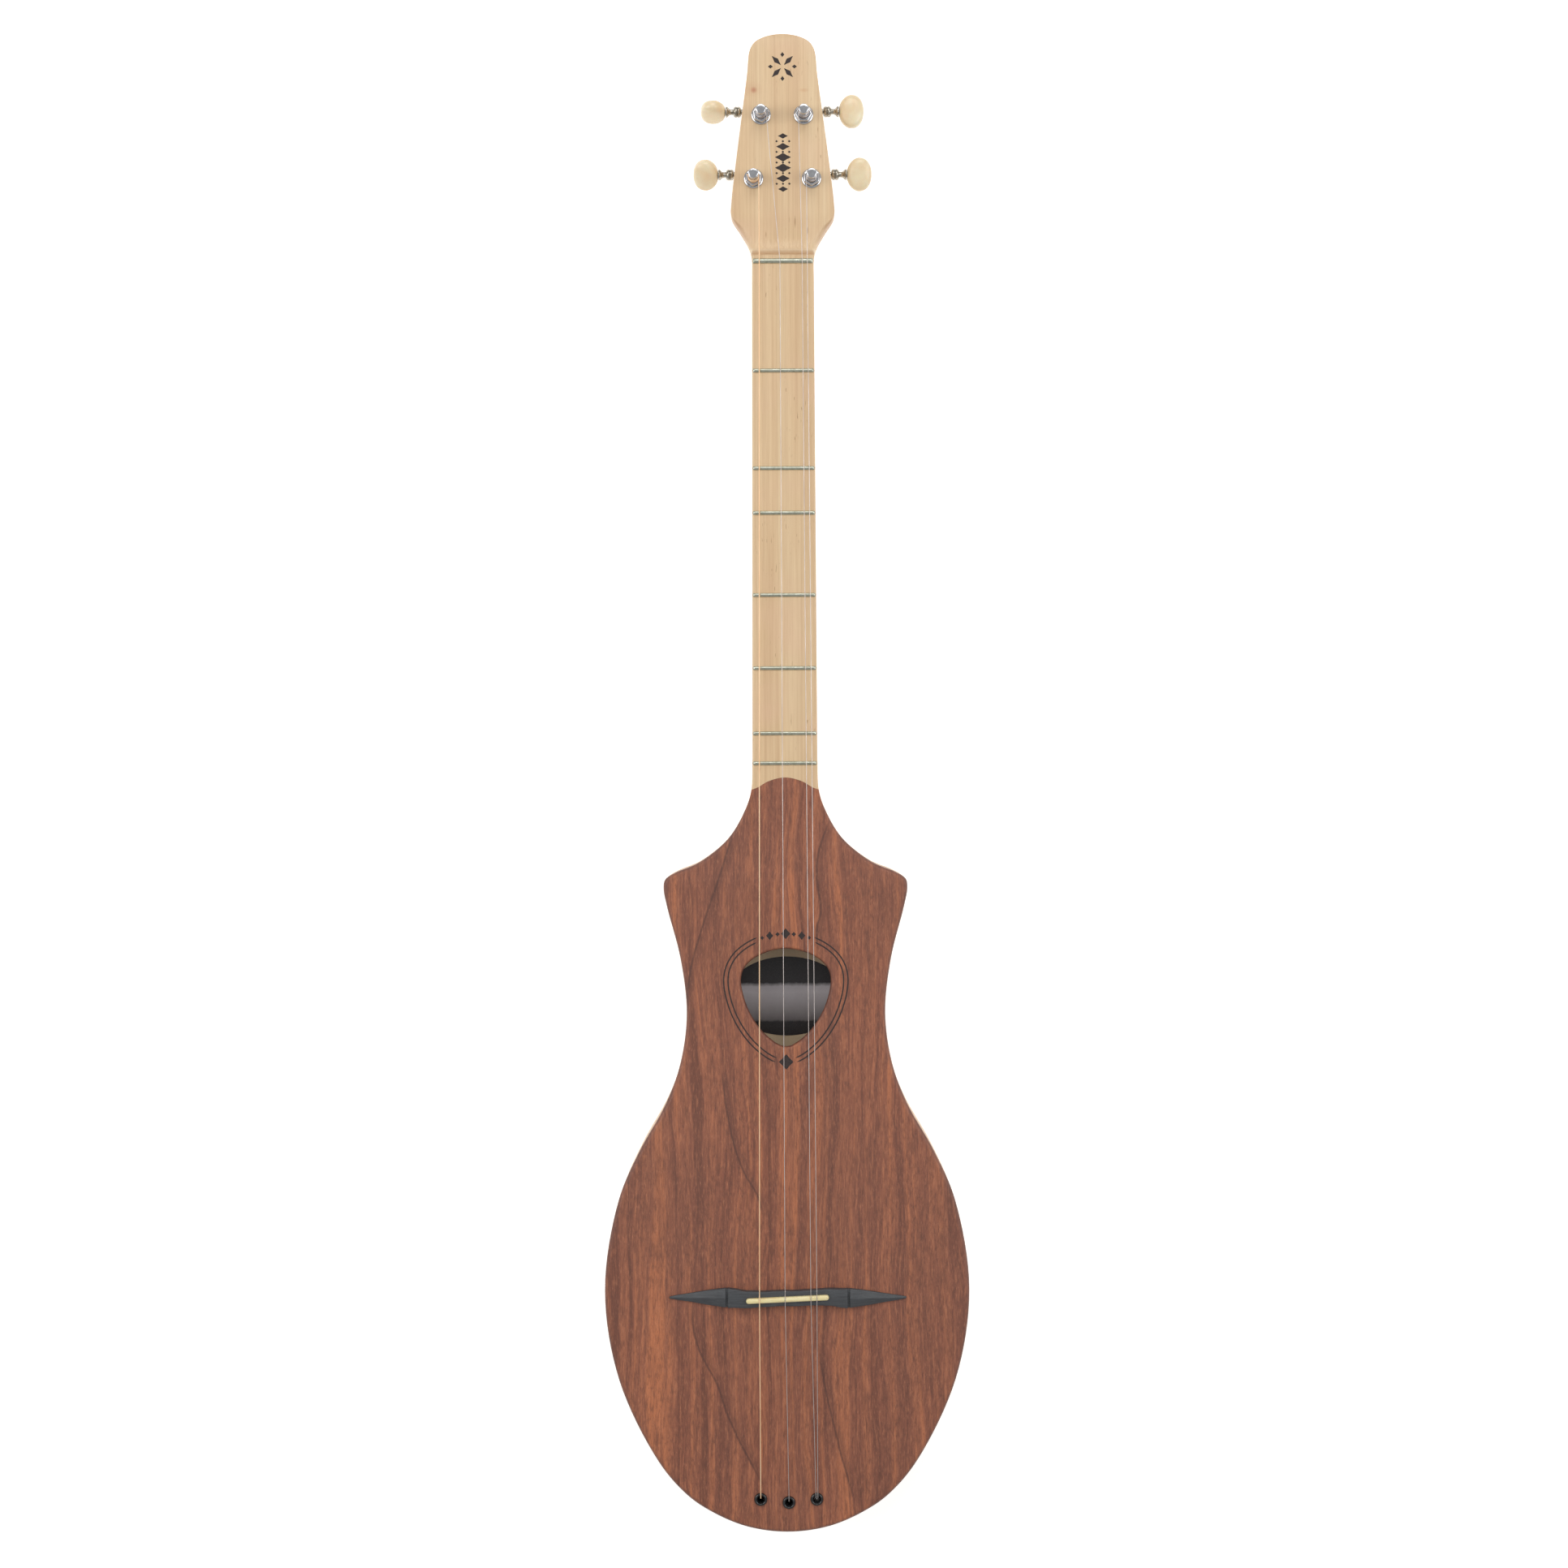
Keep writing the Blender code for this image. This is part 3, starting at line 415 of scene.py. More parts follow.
class Look:
    """A procedural material, with short calls for the nodes that it needs."""

    def __init__(self, name, slot, roughness, metallic=0.0, **sockets):
        self.slot = slot
        self.material = bpy.data.materials.new(name)
        self.material.use_nodes = True
        self.tree = self.material.node_tree
        self.shader = self.tree.nodes["Principled BSDF"]
        self.set(Roughness=roughness, Metallic=metallic, **sockets)

    def set(self, **sockets):
        """Gives the shader's sockets a value or a link; Base_Color stands for Base Color."""
        for name, value in sockets.items():
            self.feed(self.shader, name.replace("_", " "), value)

    def feed(self, node, socket, value):
        if isinstance(value, bpy.types.NodeSocket):
            self.tree.links.new(value, node.inputs[socket])
        else:
            node.inputs[socket].default_value = value

    def node(self, kind, sockets, **settings):
        node = self.tree.nodes.new(kind)
        for name, value in settings.items():
            setattr(node, name, value)
        for name, value in sockets.items():
            self.feed(node, name, value)
        return node

    def place(self, across=1.0, along=1.0, deep=None, shift=(0, 0, 0), turn=0.0):
        """The point on the piece in millimetres, divided by a grain's size across, along and deep."""
        here = self.tree.nodes.new("ShaderNodeTexCoord").outputs["Object"]
        size = (1 / MM / across, 1 / MM / along, 1 / MM / (deep or across))
        return self.node("ShaderNodeMapping", {"Vector": here, "Scale": size, "Location": shift,
                                               "Rotation": (0, 0, turn)}).outputs["Vector"]

    def noise(self, vector, detail=2.0, rough=0.5, swirl=0.0):
        sockets = {"Vector": vector, "Scale": 1.0, "Detail": detail, "Roughness": rough, "Distortion": swirl}
        return self.node("ShaderNodeTexNoise", sockets).outputs["Fac"]

    def maths(self, operation, *values, clamp=False):
        node = self.node("ShaderNodeMath", {}, operation=operation, use_clamp=clamp)
        for i, value in enumerate(values):
            self.feed(node, i, value)
        return node.outputs[0]

    def scaled(self, value, low, high, to_low=0.0, to_high=1.0):
        sockets = {"Value": value, "From Min": low, "From Max": high, "To Min": to_low, "To Max": to_high}
        return self.node("ShaderNodeMapRange", sockets, clamp=True).outputs["Result"]

    def ramp(self, value, *stops):
        """A colour for each value: stops are (value, colour)."""
        node = self.node("ShaderNodeValToRGB", {"Fac": value})
        elements = node.color_ramp.elements
        for element, (position, colour) in zip([elements[0], elements[1]], stops):
            element.position = position
            element.color = colour
        for position, colour in stops[2:]:
            elements.new(position).color = colour
        return node.outputs["Color"]

    def blend(self, factor, first, second, mode="MIX"):
        node = self.node("ShaderNodeMix", {}, data_type="RGBA", blend_type=mode)
        for socket, value in ((0, factor), (6, first), (7, second)):
            self.feed(node, socket, value)
        return node.outputs[2]

    def axes(self, vector):
        return self.node("ShaderNodeSeparateXYZ", {"Vector": vector}).outputs

    def joined_axes(self, x, y, z=0.0):
        return self.node("ShaderNodeCombineXYZ", {"X": x, "Y": y, "Z": z}).outputs["Vector"]

    def beside(self, line, x, y):
        """How far x lies right of a given line, (x, y) from its lower end up, and the share along it."""
        low, high = line[0][1], line[-1][1]
        share = self.scaled(y, low, high)
        node = self.node("ShaderNodeFloatCurve", {"Value": share})
        places = [((py - low) / (high - low), px / LINE_REACH + 0.5) for px, py in line]
        curve = node.mapping.curves[0]
        curve.points[0].location, curve.points[1].location = places[0], places[-1]
        for place in places[1:-1]:
            curve.points.new(*place)
        node.mapping.update()
        middle = self.scaled(node.outputs[0], 0.0, 1.0, -LINE_REACH / 2, LINE_REACH / 2)
        return self.maths("SUBTRACT", x, middle), share

    def close_to(self, value, centre, outer, inner, amount):
        """How close a value is to a centre: 0 from `outer` away, and `amount` within `inner`."""
        away = self.maths("ABSOLUTE", self.maths("SUBTRACT", value, centre))
        return self.scaled(away, outer, inner, 0.0, amount)

    def tint(self, colour, shade, value, low, high, amount):
        """The colour, mixed by up to `amount` with a shade as the value goes from low to high."""
        return self.blend(self.scaled(value, low, high, 0.0, amount), colour, srgb(*shade))

    def relief(self, height, depth, strength=1.0):
        """Bump from a 0 to 1 height, over a depth in millimetres."""
        sockets = {"Height": height, "Distance": depth * MM, "Strength": strength}
        self.set(Normal=self.node("ShaderNodeBump", sockets).outputs["Normal"])


def maple_look():
    """Pale maple: straight fine grain, soft broad bands, small brown flecks and two pin knots."""
    look = Look("maple_satin", "maple", 0.42, Coat_Weight=0.12, Coat_Roughness=0.3)
    bands = look.noise(look.place(9, 420, 9), 2.0, 0.5, 0.3)
    grain = look.noise(look.place(1.3, 150, 1.3), 3.0, 0.65)
    fibre = look.noise(look.place(0.35, 14, 0.35), 2.0, 0.6)
    curl = look.noise(look.place(34, 26, 34), 1.0)
    colour = look.ramp(bands, (0.3, srgb(230, 203, 163)), (0.7, srgb(214, 180, 140)),
                       (0.5, srgb(225, 195, 154)))
    colour = look.tint(colour, (201, 163, 124), grain, 0.42, 0.74, 0.55)
    colour = look.tint(colour, (228, 190, 158), curl, 0.5, 0.75, 0.4)
    colour = look.tint(colour, (190, 150, 112), fibre, 0.4, 0.8, 0.22)
    flecks = look.noise(look.place(0.7, 5.5, 0.7, shift=(3, 1, 4)), 1.0, 0.4)
    rare = look.noise(look.place(12, 40, 12, shift=(7, 2, 0)), 1.0)
    marks = look.maths("MULTIPLY", look.scaled(flecks, 0.7, 0.78), look.scaled(rare, 0.5, 0.62))
    colour = look.blend(look.maths("MULTIPLY", marks, 0.7), colour, srgb(150, 104, 70))
    for x, y, across, along, strength, shade in MAPLE_MARKS:
        here = look.place(across, along, FAR, shift=(-x / across, -y / along, 0))
        away = look.node("ShaderNodeVectorMath", {0: here}, operation="LENGTH").outputs["Value"]
        mark = look.maths("MULTIPLY", look.scaled(away, 1.0, 0.2), strength)
        colour = look.blend(mark, colour, srgb(*shade))
    # Painted highlight: a pale band at the foot of the scoop above the fretboard's end; and painted shade: a
    # dark line along the step
    _, y, z = look.axes(look.place(1, 1))
    scoop_highlight = look.close_to(y, FACE_STEP_Y + 2.6, 2.4, 1.0, 0.5)
    colour = look.blend(scoop_highlight, colour, srgb(240, 222, 190))
    # A dark line painted along the step, as painted shade
    step = look.close_to(y, FACE_STEP_Y - 0.1, 0.45, 0.15, 0.35)
    colour = look.blend(step, colour, srgb(176, 130, 86))
    # The floor of the chamber is painted paler, as painted light against the shade inside the chamber
    inside = look.close_to(z, FLOOR_Z, 0.6, 0.3, 0.6)
    colour = look.blend(inside, colour, srgb(250, 226, 190))
    # Walls that face along Y below the top are darker: partly end grain, which drinks more of the finish, and
    # partly painted shade on walls such as the headstock's shoulders
    facing = look.axes(look.node("ShaderNodeNewGeometry", {}).outputs["Normal"])[1]
    end_grain_and_shade = look.scaled(look.maths("ABSOLUTE", facing), 0.3, 0.65, 0.0, 0.6)
    outside = look.scaled(z, HEAD_FACE_Z + 5.2, HEAD_FACE_Z + 4.2)
    colour = look.blend(look.maths("MULTIPLY", end_grain_and_shade, outside), colour, srgb(176, 128, 84))
    look.set(Base_Color=colour, Roughness=look.scaled(fibre, 0.2, 0.8, 0.36, 0.5))
    look.relief(look.maths("ADD", fibre, look.maths("MULTIPLY", grain, 0.5)), 0.03, 0.5)
    return look


def mahogany_look():
    """Figured mahogany: ribbon stripes, dark growth lines, blotches, short streaks and open pores."""
    look = Look("mahogany_figured", "mahogany", 0.5, Coat_Weight=0.06, Coat_Roughness=0.4)
    x, y, z = look.axes(look.place(1, 1))
    drift = look.noise(look.place(95, 300, 95, shift=(2.3, 0.4, 0)), 1.5, 0.45)
    sway = look.noise(look.place(16, 75, 16, shift=(0.5, 3, 0)), 2.0, 0.5)
    shake = look.maths("MULTIPLY", look.maths("SUBTRACT", sway, 0.5), 8.0)
    straight = look.maths("ADD", x, shake)
    flow = look.maths("ADD", straight, look.maths("MULTIPLY", look.maths("SUBTRACT", drift, 0.5), 34.0))
    # Ribbons and streaks run with the grain; blotches, ripples and pores break them up
    share = look.maths("DIVIDE", flow, 6.0)
    ribbon = look.noise(look.joined_axes(share, look.maths("DIVIDE", y, 520.0)), 3.0, 0.62)
    share = look.maths("DIVIDE", flow, 1.25)
    streak = look.noise(look.joined_axes(share, look.maths("DIVIDE", y, 30.0)), 3.0, 0.62)
    blotch = look.noise(look.place(5.5, 30, 5.5, shift=(4, 4, 0)), 3.0, 0.6, 0.5)
    ripple = look.noise(look.place(1.9, 5.2, 1.9, shift=(1, 0, 0), turn=0.16), 3.0, 0.65, 0.5)
    ripple_area = look.scaled(look.noise(look.place(52, 120, 52, shift=(0, 6, 0)), 1.0), 0.36, 0.58)
    pores = look.noise(look.place(0.45, 3.4, 0.45), 2.0, 0.55)
    dashes = look.noise(look.place(1.15, 8.5, 1.15, shift=(0, 9, 2), turn=0.04), 2.0, 0.55, 0.3)
    colour = look.ramp(ribbon, (0.36, srgb(118, 70, 53)), (0.64, srgb(192, 117, 78)),
                       (0.45, srgb(146, 88, 66)), (0.54, srgb(163, 100, 72)))
    tone = look.noise(look.place(48, 190, 48, shift=(1, 5, 0)), 1.0)
    colour = look.tint(colour, (120, 76, 62), tone, 0.42, 0.66, 0.4)
    colour = look.tint(colour, (113, 70, 56), blotch, 0.5, 0.72, 0.55)
    colour = look.tint(colour, (112, 68, 52), streak, 0.42, 0.72, 0.55)
    colour = look.tint(colour, (186, 120, 86), streak, 0.46, 0.28, 0.55)
    colour = look.tint(colour, (96, 58, 45), dashes, 0.54, 0.72, 0.5)
    colour = look.tint(colour, (192, 124, 88), dashes, 0.44, 0.28, 0.38)
    shade = look.maths("MULTIPLY", look.scaled(ripple, 0.5, 0.66), ripple_area)
    colour = look.blend(look.maths("MULTIPLY", shade, 0.55), colour, srgb(106, 65, 51))
    # Growth lines: a thin dark line with a soft dark band along its right side, fading out at both ends
    for line in GROWTH_LINES:
        away, along = look.beside(line, look.maths("ADD", x, look.maths("MULTIPLY", shake, 0.35)), y)
        ends = look.maths("MULTIPLY", look.scaled(along, 0.0, 0.12), look.scaled(along, 1.0, 0.88))
        band = look.close_to(away, 1.8, 3.0, 0.0, 0.5)
        colour = look.blend(look.maths("MULTIPLY", band, ends), colour, srgb(104, 64, 52))
        thin = look.scaled(look.maths("ABSOLUTE", away), 1.0, 0.15, 0.0, 0.75)
        colour = look.blend(look.maths("MULTIPLY", thin, ends), colour, srgb(84, 52, 44))
    colour = look.tint(colour, (92, 56, 44), pores, 0.6, 0.72, 0.6)
    colour = look.tint(colour, (198, 134, 102), pores, 0.42, 0.3, 0.35)
    # Painted shade: the mahogany is darker where it wraps over the edges and into the sound hole
    colour = look.blend(look.scaled(z, TOP_Z - 0.04, TOP_Z - 0.9, 0.0, 0.55), colour, srgb(92, 56, 46))
    look.set(Base_Color=colour, Roughness=look.scaled(streak, 0.3, 0.7, 0.44, 0.58))
    height = look.maths("SUBTRACT", look.maths("MULTIPLY", streak, 0.3), look.scaled(pores, 0.58, 0.7))
    look.relief(height, 0.06, 0.55)
    return look


def spruce_look():
    """Bare spruce bars under the soundboard: even cream wood with close reddish grain lines."""
    look = Look("spruce_bare", "spruce", 0.62)
    lines = look.noise(look.place(60, 1.1, 1.1), 3.0, 0.6)
    look.set(Base_Color=look.ramp(lines, (0.35, srgb(224, 196, 150)), (0.68, srgb(186, 142, 96))))
    look.relief(lines, 0.05, 0.5)
    return look


def black_wood_look():
    """The bridge: black wood with a satin finish and a faint dusty grain."""
    look = Look("black_wood_satin", "bridge_black", 0.5, Coat_Weight=0.08, Coat_Roughness=0.35)
    grain = look.noise(look.place(12, 0.8, 0.8), 3.0, 0.6)
    dust = look.noise(look.place(3, 3), 3.0, 0.6)
    colour = look.ramp(grain, (0.3, srgb(58, 59, 62)), (0.7, srgb(74, 77, 80)))
    colour = look.tint(colour, (96, 98, 100), dust, 0.55, 0.8, 0.3)
    look.set(Base_Color=colour, Roughness=look.scaled(dust, 0.3, 0.7, 0.42, 0.56))
    look.relief(grain, 0.03, 0.5)
    return look


def ink_look():
    """Dark brown-black burnt-in lines."""
    look = Look("burnt_ink", "bridge_black", 0.6)
    patch = look.noise(look.place(1.4, 1.4), 3.0, 0.6)
    look.set(Base_Color=look.ramp(patch, (0.3, srgb(36, 28, 28)), (0.75, srgb(58, 44, 40))))
    look.relief(patch, 0.02, 0.5)
    return look


def bone_look():
    """The saddle: ivory yellow with a few ochre streaks along it, polished by the strings."""
    look = Look("bone_polished", "bone", 0.3, Coat_Weight=0.25, Coat_Roughness=0.12, Subsurface_Weight=0.12,
                Subsurface_Radius=(0.002, 0.0012, 0.0006))
    streaks = look.noise(look.place(14, 0.7, 2, turn=-SADDLE_SLANT), 2.0, 0.5)
    cloud = look.noise(look.place(6, 3), 2.0)
    colour = look.ramp(cloud, (0.3, srgb(244, 232, 182)), (0.7, srgb(233, 217, 160)))
    colour = look.tint(colour, (212, 182, 118), streaks, 0.56, 0.7, 0.6)
    look.set(Base_Color=colour, Roughness=look.scaled(cloud, 0.3, 0.7, 0.24, 0.36))
    look.relief(streaks, 0.01, 0.4)
    return look


def metal_look(name, slot, colour, worn, roughness, size=2.5, depth=0.012):
    """Plated or drawn metal: clean where smooth, duller in patches, with hair-fine marks."""
    look = Look(name, slot, roughness[0], 1.0)
    patches = look.noise(look.place(size, size), 4.0, 0.6)
    marks = look.noise(look.place(0.25, 2.2, 0.25), 2.0, 0.6)
    look.set(Base_Color=look.ramp(patches, (0.38, srgb(*colour)), (0.72, srgb(*worn))),
             Roughness=look.scaled(patches, 0.3, 0.75, *roughness))
    look.relief(look.maths("ADD", marks, look.maths("MULTIPLY", patches, 0.4)), depth, 0.5)
    return look


def cream_plastic_look():
    """The buttons: cream plastic, a little translucent, cloudy like old ivory, with a soft gloss."""
    look = Look("cream_plastic_cloudy", "cream_plastic", 0.3, Coat_Weight=0.3, Coat_Roughness=0.15,
                Subsurface_Weight=0.2, Subsurface_Radius=(0.003, 0.002, 0.001))
    cloud = look.noise(look.place(9, 11, 6), 2.0, 0.5, 0.6)
    speck = look.noise(look.place(0.6, 0.6), 2.0)
    colour = look.ramp(cloud, (0.3, srgb(241, 228, 194)), (0.7, srgb(236, 211, 172)))
    colour = look.tint(colour, (214, 184, 140), speck, 0.6, 0.8, 0.15)
    look.set(Base_Color=colour, Roughness=look.scaled(speck, 0.3, 0.7, 0.26, 0.36))
    look.relief(look.noise(look.place(2.2, 2.2), 2.0), 0.03, 0.4)
    return look


def black_plastic_look():
    """The front ferrules: polished black with a faint turned texture."""
    look = Look("black_polished", "black_plastic", 0.12, Coat_Weight=0.5, Coat_Roughness=0.05)
    haze = look.noise(look.place(1.2, 1.2), 3.0)
    look.set(Base_Color=look.ramp(haze, (0.3, srgb(14, 14, 15)), (0.8, srgb(34, 34, 36))),
             Roughness=look.scaled(haze, 0.3, 0.8, 0.1, 0.24))
    look.relief(haze, 0.02, 0.3)
    return look


def string_look(name, slot, colour, worn, pitch, metallic):
    """Wire: a drawn or wound surface whose turns lie `pitch` millimetres apart along Y."""
    look = Look(name, slot, 0.4, metallic)
    turns = look.node("ShaderNodeTexWave", {"Vector": look.place(pitch, pitch), "Scale": 0.3183},
                      wave_type="BANDS", bands_direction="Y").outputs["Fac"]
    tarnish = look.noise(look.place(1.5, 22, 1.5), 3.0, 0.6)
    look.set(Base_Color=look.ramp(tarnish, (0.35, srgb(*colour)), (0.75, srgb(*worn))),
             Roughness=look.scaled(tarnish, 0.3, 0.75, 0.34, 0.5))
    look.relief(turns, 0.03, 0.5)
    return look


def label_look():
    """The label inside: a dark print that fades to grey across its middle, on slightly uneven paper."""
    look = Look("label_printed", "label_paper", 0.42, Coat_Weight=0.1, Coat_Roughness=0.3)
    _, y, _ = look.axes(look.place(1, 1))
    cloud = look.noise(look.place(5, 8), 3.0, 0.6)
    wavy = look.maths("ADD", y, look.maths("MULTIPLY", look.maths("SUBTRACT", cloud, 0.5), 2.4))
    share = look.scaled(wavy, LABEL_AT[1] - LABEL_HALF[1], LABEL_AT[1] + LABEL_HALF[1])
    colour = look.ramp(share, (0.0, srgb(46, 42, 42)), (1.0, srgb(46, 44, 46)),
                       (0.17, srgb(50, 46, 46)), (0.2, srgb(128, 122, 122)), (0.34, srgb(178, 171, 173)),
                       (0.55, srgb(232, 226, 230)), (0.62, srgb(226, 221, 226)), (0.67, srgb(54, 51, 54)))
    paper = look.noise(look.place(0.5, 0.5), 2.0)
    look.set(Base_Color=look.tint(colour, (160, 158, 156), paper, 0.5, 0.8, 0.12),
             Roughness=look.scaled(paper, 0.3, 0.7, 0.36, 0.5))
    look.relief(paper, 0.02, 0.4)
    return look


# ---------------------------------------------------------------- neck and body

def neck_half_width(y):
    """The neck narrows evenly from the body to the headstock."""
    wide, narrow = BODY[0], HEAD[-1]
    return mix(wide[0], narrow[0], (y - wide[1]) / (narrow[1] - wide[1]))


def face_height(y):
    """The fretboard, then a scoop down to the headstock's face."""
    drop = min(max((y - FACE_STEP_Y) / SCOOP_LENGTH, 0), 1)
    return TOP_Z - (TOP_Z - HEAD_FACE_Z) * math.sqrt(1 - (1 - drop) ** 2)


def core_stations():
    """(half width, y, sideways share of the outline's normal) from the tip to the tail."""
    path = [*smooth(HEAD, 7)]
    path += [Vector((neck_half_width(y), y)) for y in range(280, 20, -10)]
    path += smooth(BODY, 8)
    for away in (0, 0.06, 0.25, 0.6, 1.2, 2, 3.2, 4.8, 6.8, 9.2, SCOOP_LENGTH):
        y = FACE_STEP_Y + away
        below = next(i for i, point in enumerate(path) if point.y < y)
        high, low = path[below - 1], path[below]
        if high.y - y > 0.02 and y - low.y > 0.02:
            path.insert(below, high.lerp(low, (high.y - y) / (high.y - low.y)))
    stations = []
    for i, point in enumerate(path):
        along = path[min(i + 1, len(path) - 1)] - path[max(i - 1, 0)]
        stations.append((point.x, point.y, abs(along.y) / along.length))
    return stations


def away_from_edge(x, y, edge):
    """How far a point lies inside the body's half outline, up to the back's rounding."""
    nearest = BACK_ROUND
    place = Vector((x, y))
    for start, end in edge:
        if abs(start.y - y) > 14 and abs(end.y - y) > 14:
            continue
        along = end - start
        share = min(max((place - start).dot(along) / along.length_squared, 0), 1)
        nearest = min(nearest, (start + along * share - place).length)
    return nearest


def core_ring(half, y, sideways, edge, steps=8):
    """One cross-section: flat on top, with rounded corners at the back that grow into the neck's D."""
    neck = ease(y, HEEL)
    head = ease(y, NECK_TO_HEAD)
    half = max(half, 1.5)
    top = face_height(y)
    shoulder = ease(y, (306, 312)) * (1 - ease(y, (322, 331)))
    edge_round = min(mix(EDGE_ROUND, SHOULDER_ROUND, shoulder), half * 0.4)
    across = [mix(BACK_ROUND / max(sideways, 0.2), 0.93 * half, neck), HEAD_ROUND]
    across = min(mix(*across, head), 0.93 * half)
    right = []
    for i in range(5):
        angle = math.pi / 2 * i / 4
        right.append((half - edge_round * (1 - math.sin(angle)), top - edge_round * (1 - math.cos(angle))))
    for i in range(steps + 3):
        angle = math.pi / 2 * min(i / steps, 1)
        x = half - across * (1 - math.cos(angle))
        x *= 1 - max(i - steps, 0) * 0.4
        lift = 1 - math.sin(angle)
        gap = BACK_ROUND - away_from_edge(x, y, edge) if neck < 1 else 0
        body_z = BACK_ROUND - math.sqrt(max(BACK_ROUND**2 - gap**2, 0))
        back = mix(mix(body_z, NECK_BACK_Z + NECK_ROUND * lift, neck), HEAD_BACK_Z + HEAD_ROUND * lift, head)
        right.append((x, back))
    left = [(-x, z) for x, z in reversed(right)]
    return [(x, y, z) for x, z in [*right, *left]]


def string_bores():
    """The ways through the body for the strings, their front ferrules and their back cups."""
    bores = []
    for number, (x, y) in enumerate(FERRULES, 1):
        wide = BALL_SPACING if number == len(FERRULES) else 0
        profile = [(0, ABOVE_ALL), (FERRULE_BARREL + 0.1, ABOVE_ALL), (FERRULE_BARREL + 0.1, 37.5),
                   (2.3 + wide / 2, 37), (2.3 + wide, 9), (3.9 + wide, 8.5), (3.9 + wide, 1.3),
                   (5.0 + wide, 1.3), (5.0 + wide, -1), (0, -1)]
        bores.append(turned(profile, (x, y, 0), steps=40))
    return bores


def make_core(maple):
    half = smooth(BODY, 8)
    edge = list(zip(half, half[1:]))
    core = loft([core_ring(*station, edge) for station in core_stations()])
    core = carved(core, plate([mirrored(smooth(CHAMBER, 8))], FLOOR_Z, ABOVE_ALL))
    seat = [Vector((x, y + HAIR)) for x, y in smooth(BOARD_END, 6)]
    corner = seat[-1].y
    outline = [*seat, Vector((BESIDE_ALL, corner)), Vector((BESIDE_ALL, BEHIND_ALL)),
               Vector((-BESIDE_ALL, BEHIND_ALL)), Vector((-BESIDE_ALL, corner))]
    outline += [Vector((-x, y)) for x, y in reversed(seat[1:])]
    core = carved(core, plate([outline], TOP_Z - SOUNDBOARD - HAIR, ABOVE_ALL))
    bores = string_bores()
    for side, x, y, _ in TUNERS.values():
        bores.append(turned([(0, ABOVE_ALL), (4.1, ABOVE_ALL), (4.1, 10), (0, 10)], (side * x, y, 0), 32))
    for _, y, _ in fret_row():
        reach = TANG[0] / 2 + HAIR
        corners = [(-30, y - reach), (30, y - reach), (30, y + reach), (-30, y + reach)]
        bores.append(plate([[Vector(corner) for corner in corners]], TOP_Z - TANG[1] - 0.1, ABOVE_ALL))
    core = carved(core, joined(bores))
    piece("maple_neck_and_body", core, maple, replaced=["neck_and_body"], sharp=32)


# ---------------------------------------------------------------- soundboard

def quarter_round(outline, radii, top, steps=6):
    """A stack of loops from the flat top down round an edge: one radius a point, negative on a hole."""
    stack = []
    for i in range(steps + 1):
        angle = math.pi / 2 * i / steps
        away = [radius * (1 - math.sin(angle)) for radius in radii]
        heights = [top - abs(radius) * (1 - math.cos(angle)) for radius in radii]
        stack.append(level(inset(outline, away), heights))
    return stack


def make_soundboard(mahogany):
    side = [point for point in smooth(BODY, 8) if point.y < BOARD_END[-1][1] - 0.01]
    outline = mirrored([*smooth(BOARD_END, 6), *side])
    radii = [0.12 + (BOARD_ROUND - 0.12) * (1 - ease(point.y, (-34, -3))) for point in outline]
    bottom = TOP_Z - SOUNDBOARD
    stacks = [[*quarter_round(outline, radii, TOP_Z), level(outline, bottom)]]
    hole = mirrored(smooth(SOUND_HOLE, 8))
    stacks.append([*quarter_round(hole, [-HOLE_ROUND] * len(hole), TOP_Z), level(hole, bottom)])
    for centre in FERRULES:
        bore = ring(centre, FERRULE_BARREL + 0.1, 40)
        stacks.append([level(bore, TOP_Z), level(bore, bottom)])
    piece("mahogany_soundboard", slab(stacks), mahogany, replaced=["soundboard"], sharp=32)


def strip(path, width, low, high):
    """A thin raised line along a flat path, with pointed-off ends."""
    left, right = [], []
    for i, point in enumerate(path):
        along = (path[min(i + 1, len(path) - 1)] - path[max(i - 1, 0)]).normalized()
        half = width / 2 * (0.35 if i in (0, len(path) - 1) else 1)
        left.append(point + Vector((-along.y, along.x)) * half)
        right.append(point - Vector((-along.y, along.x)) * half)
    return plate([[*left, *reversed(right)]], low, high)


def lozenge(centre, length, width, low, high, turn=0.0):
    """A small diamond with slightly hollow sides."""
    points = []
    for i in range(4):
        for step in range(4):
            angle = math.pi / 2 * (i + step / 4)
            reach = 1 - 0.33 * math.sin(math.pi * step / 4)
            points.append(Vector((width / 2 * math.cos(angle), length / 2 * math.sin(angle))) * reach)
    spin = Matrix.Rotation(turn, 2)
    return plate([[Vector(centre) + spin @ point for point in points]], low, high)


def make_label(paper):
    """A plain oval label on the inner face of the back."""
    (x, y), (wide, tall) = LABEL_AT, LABEL_HALF
    outline = [Vector((x + wide * across, y + tall * along)) for across, along in ring((0, 0), 1, 96)]
    piece("oval_label", plate([outline], FLOOR_Z + HAIR, FLOOR_Z + 0.3), paper, replaced=["label"])


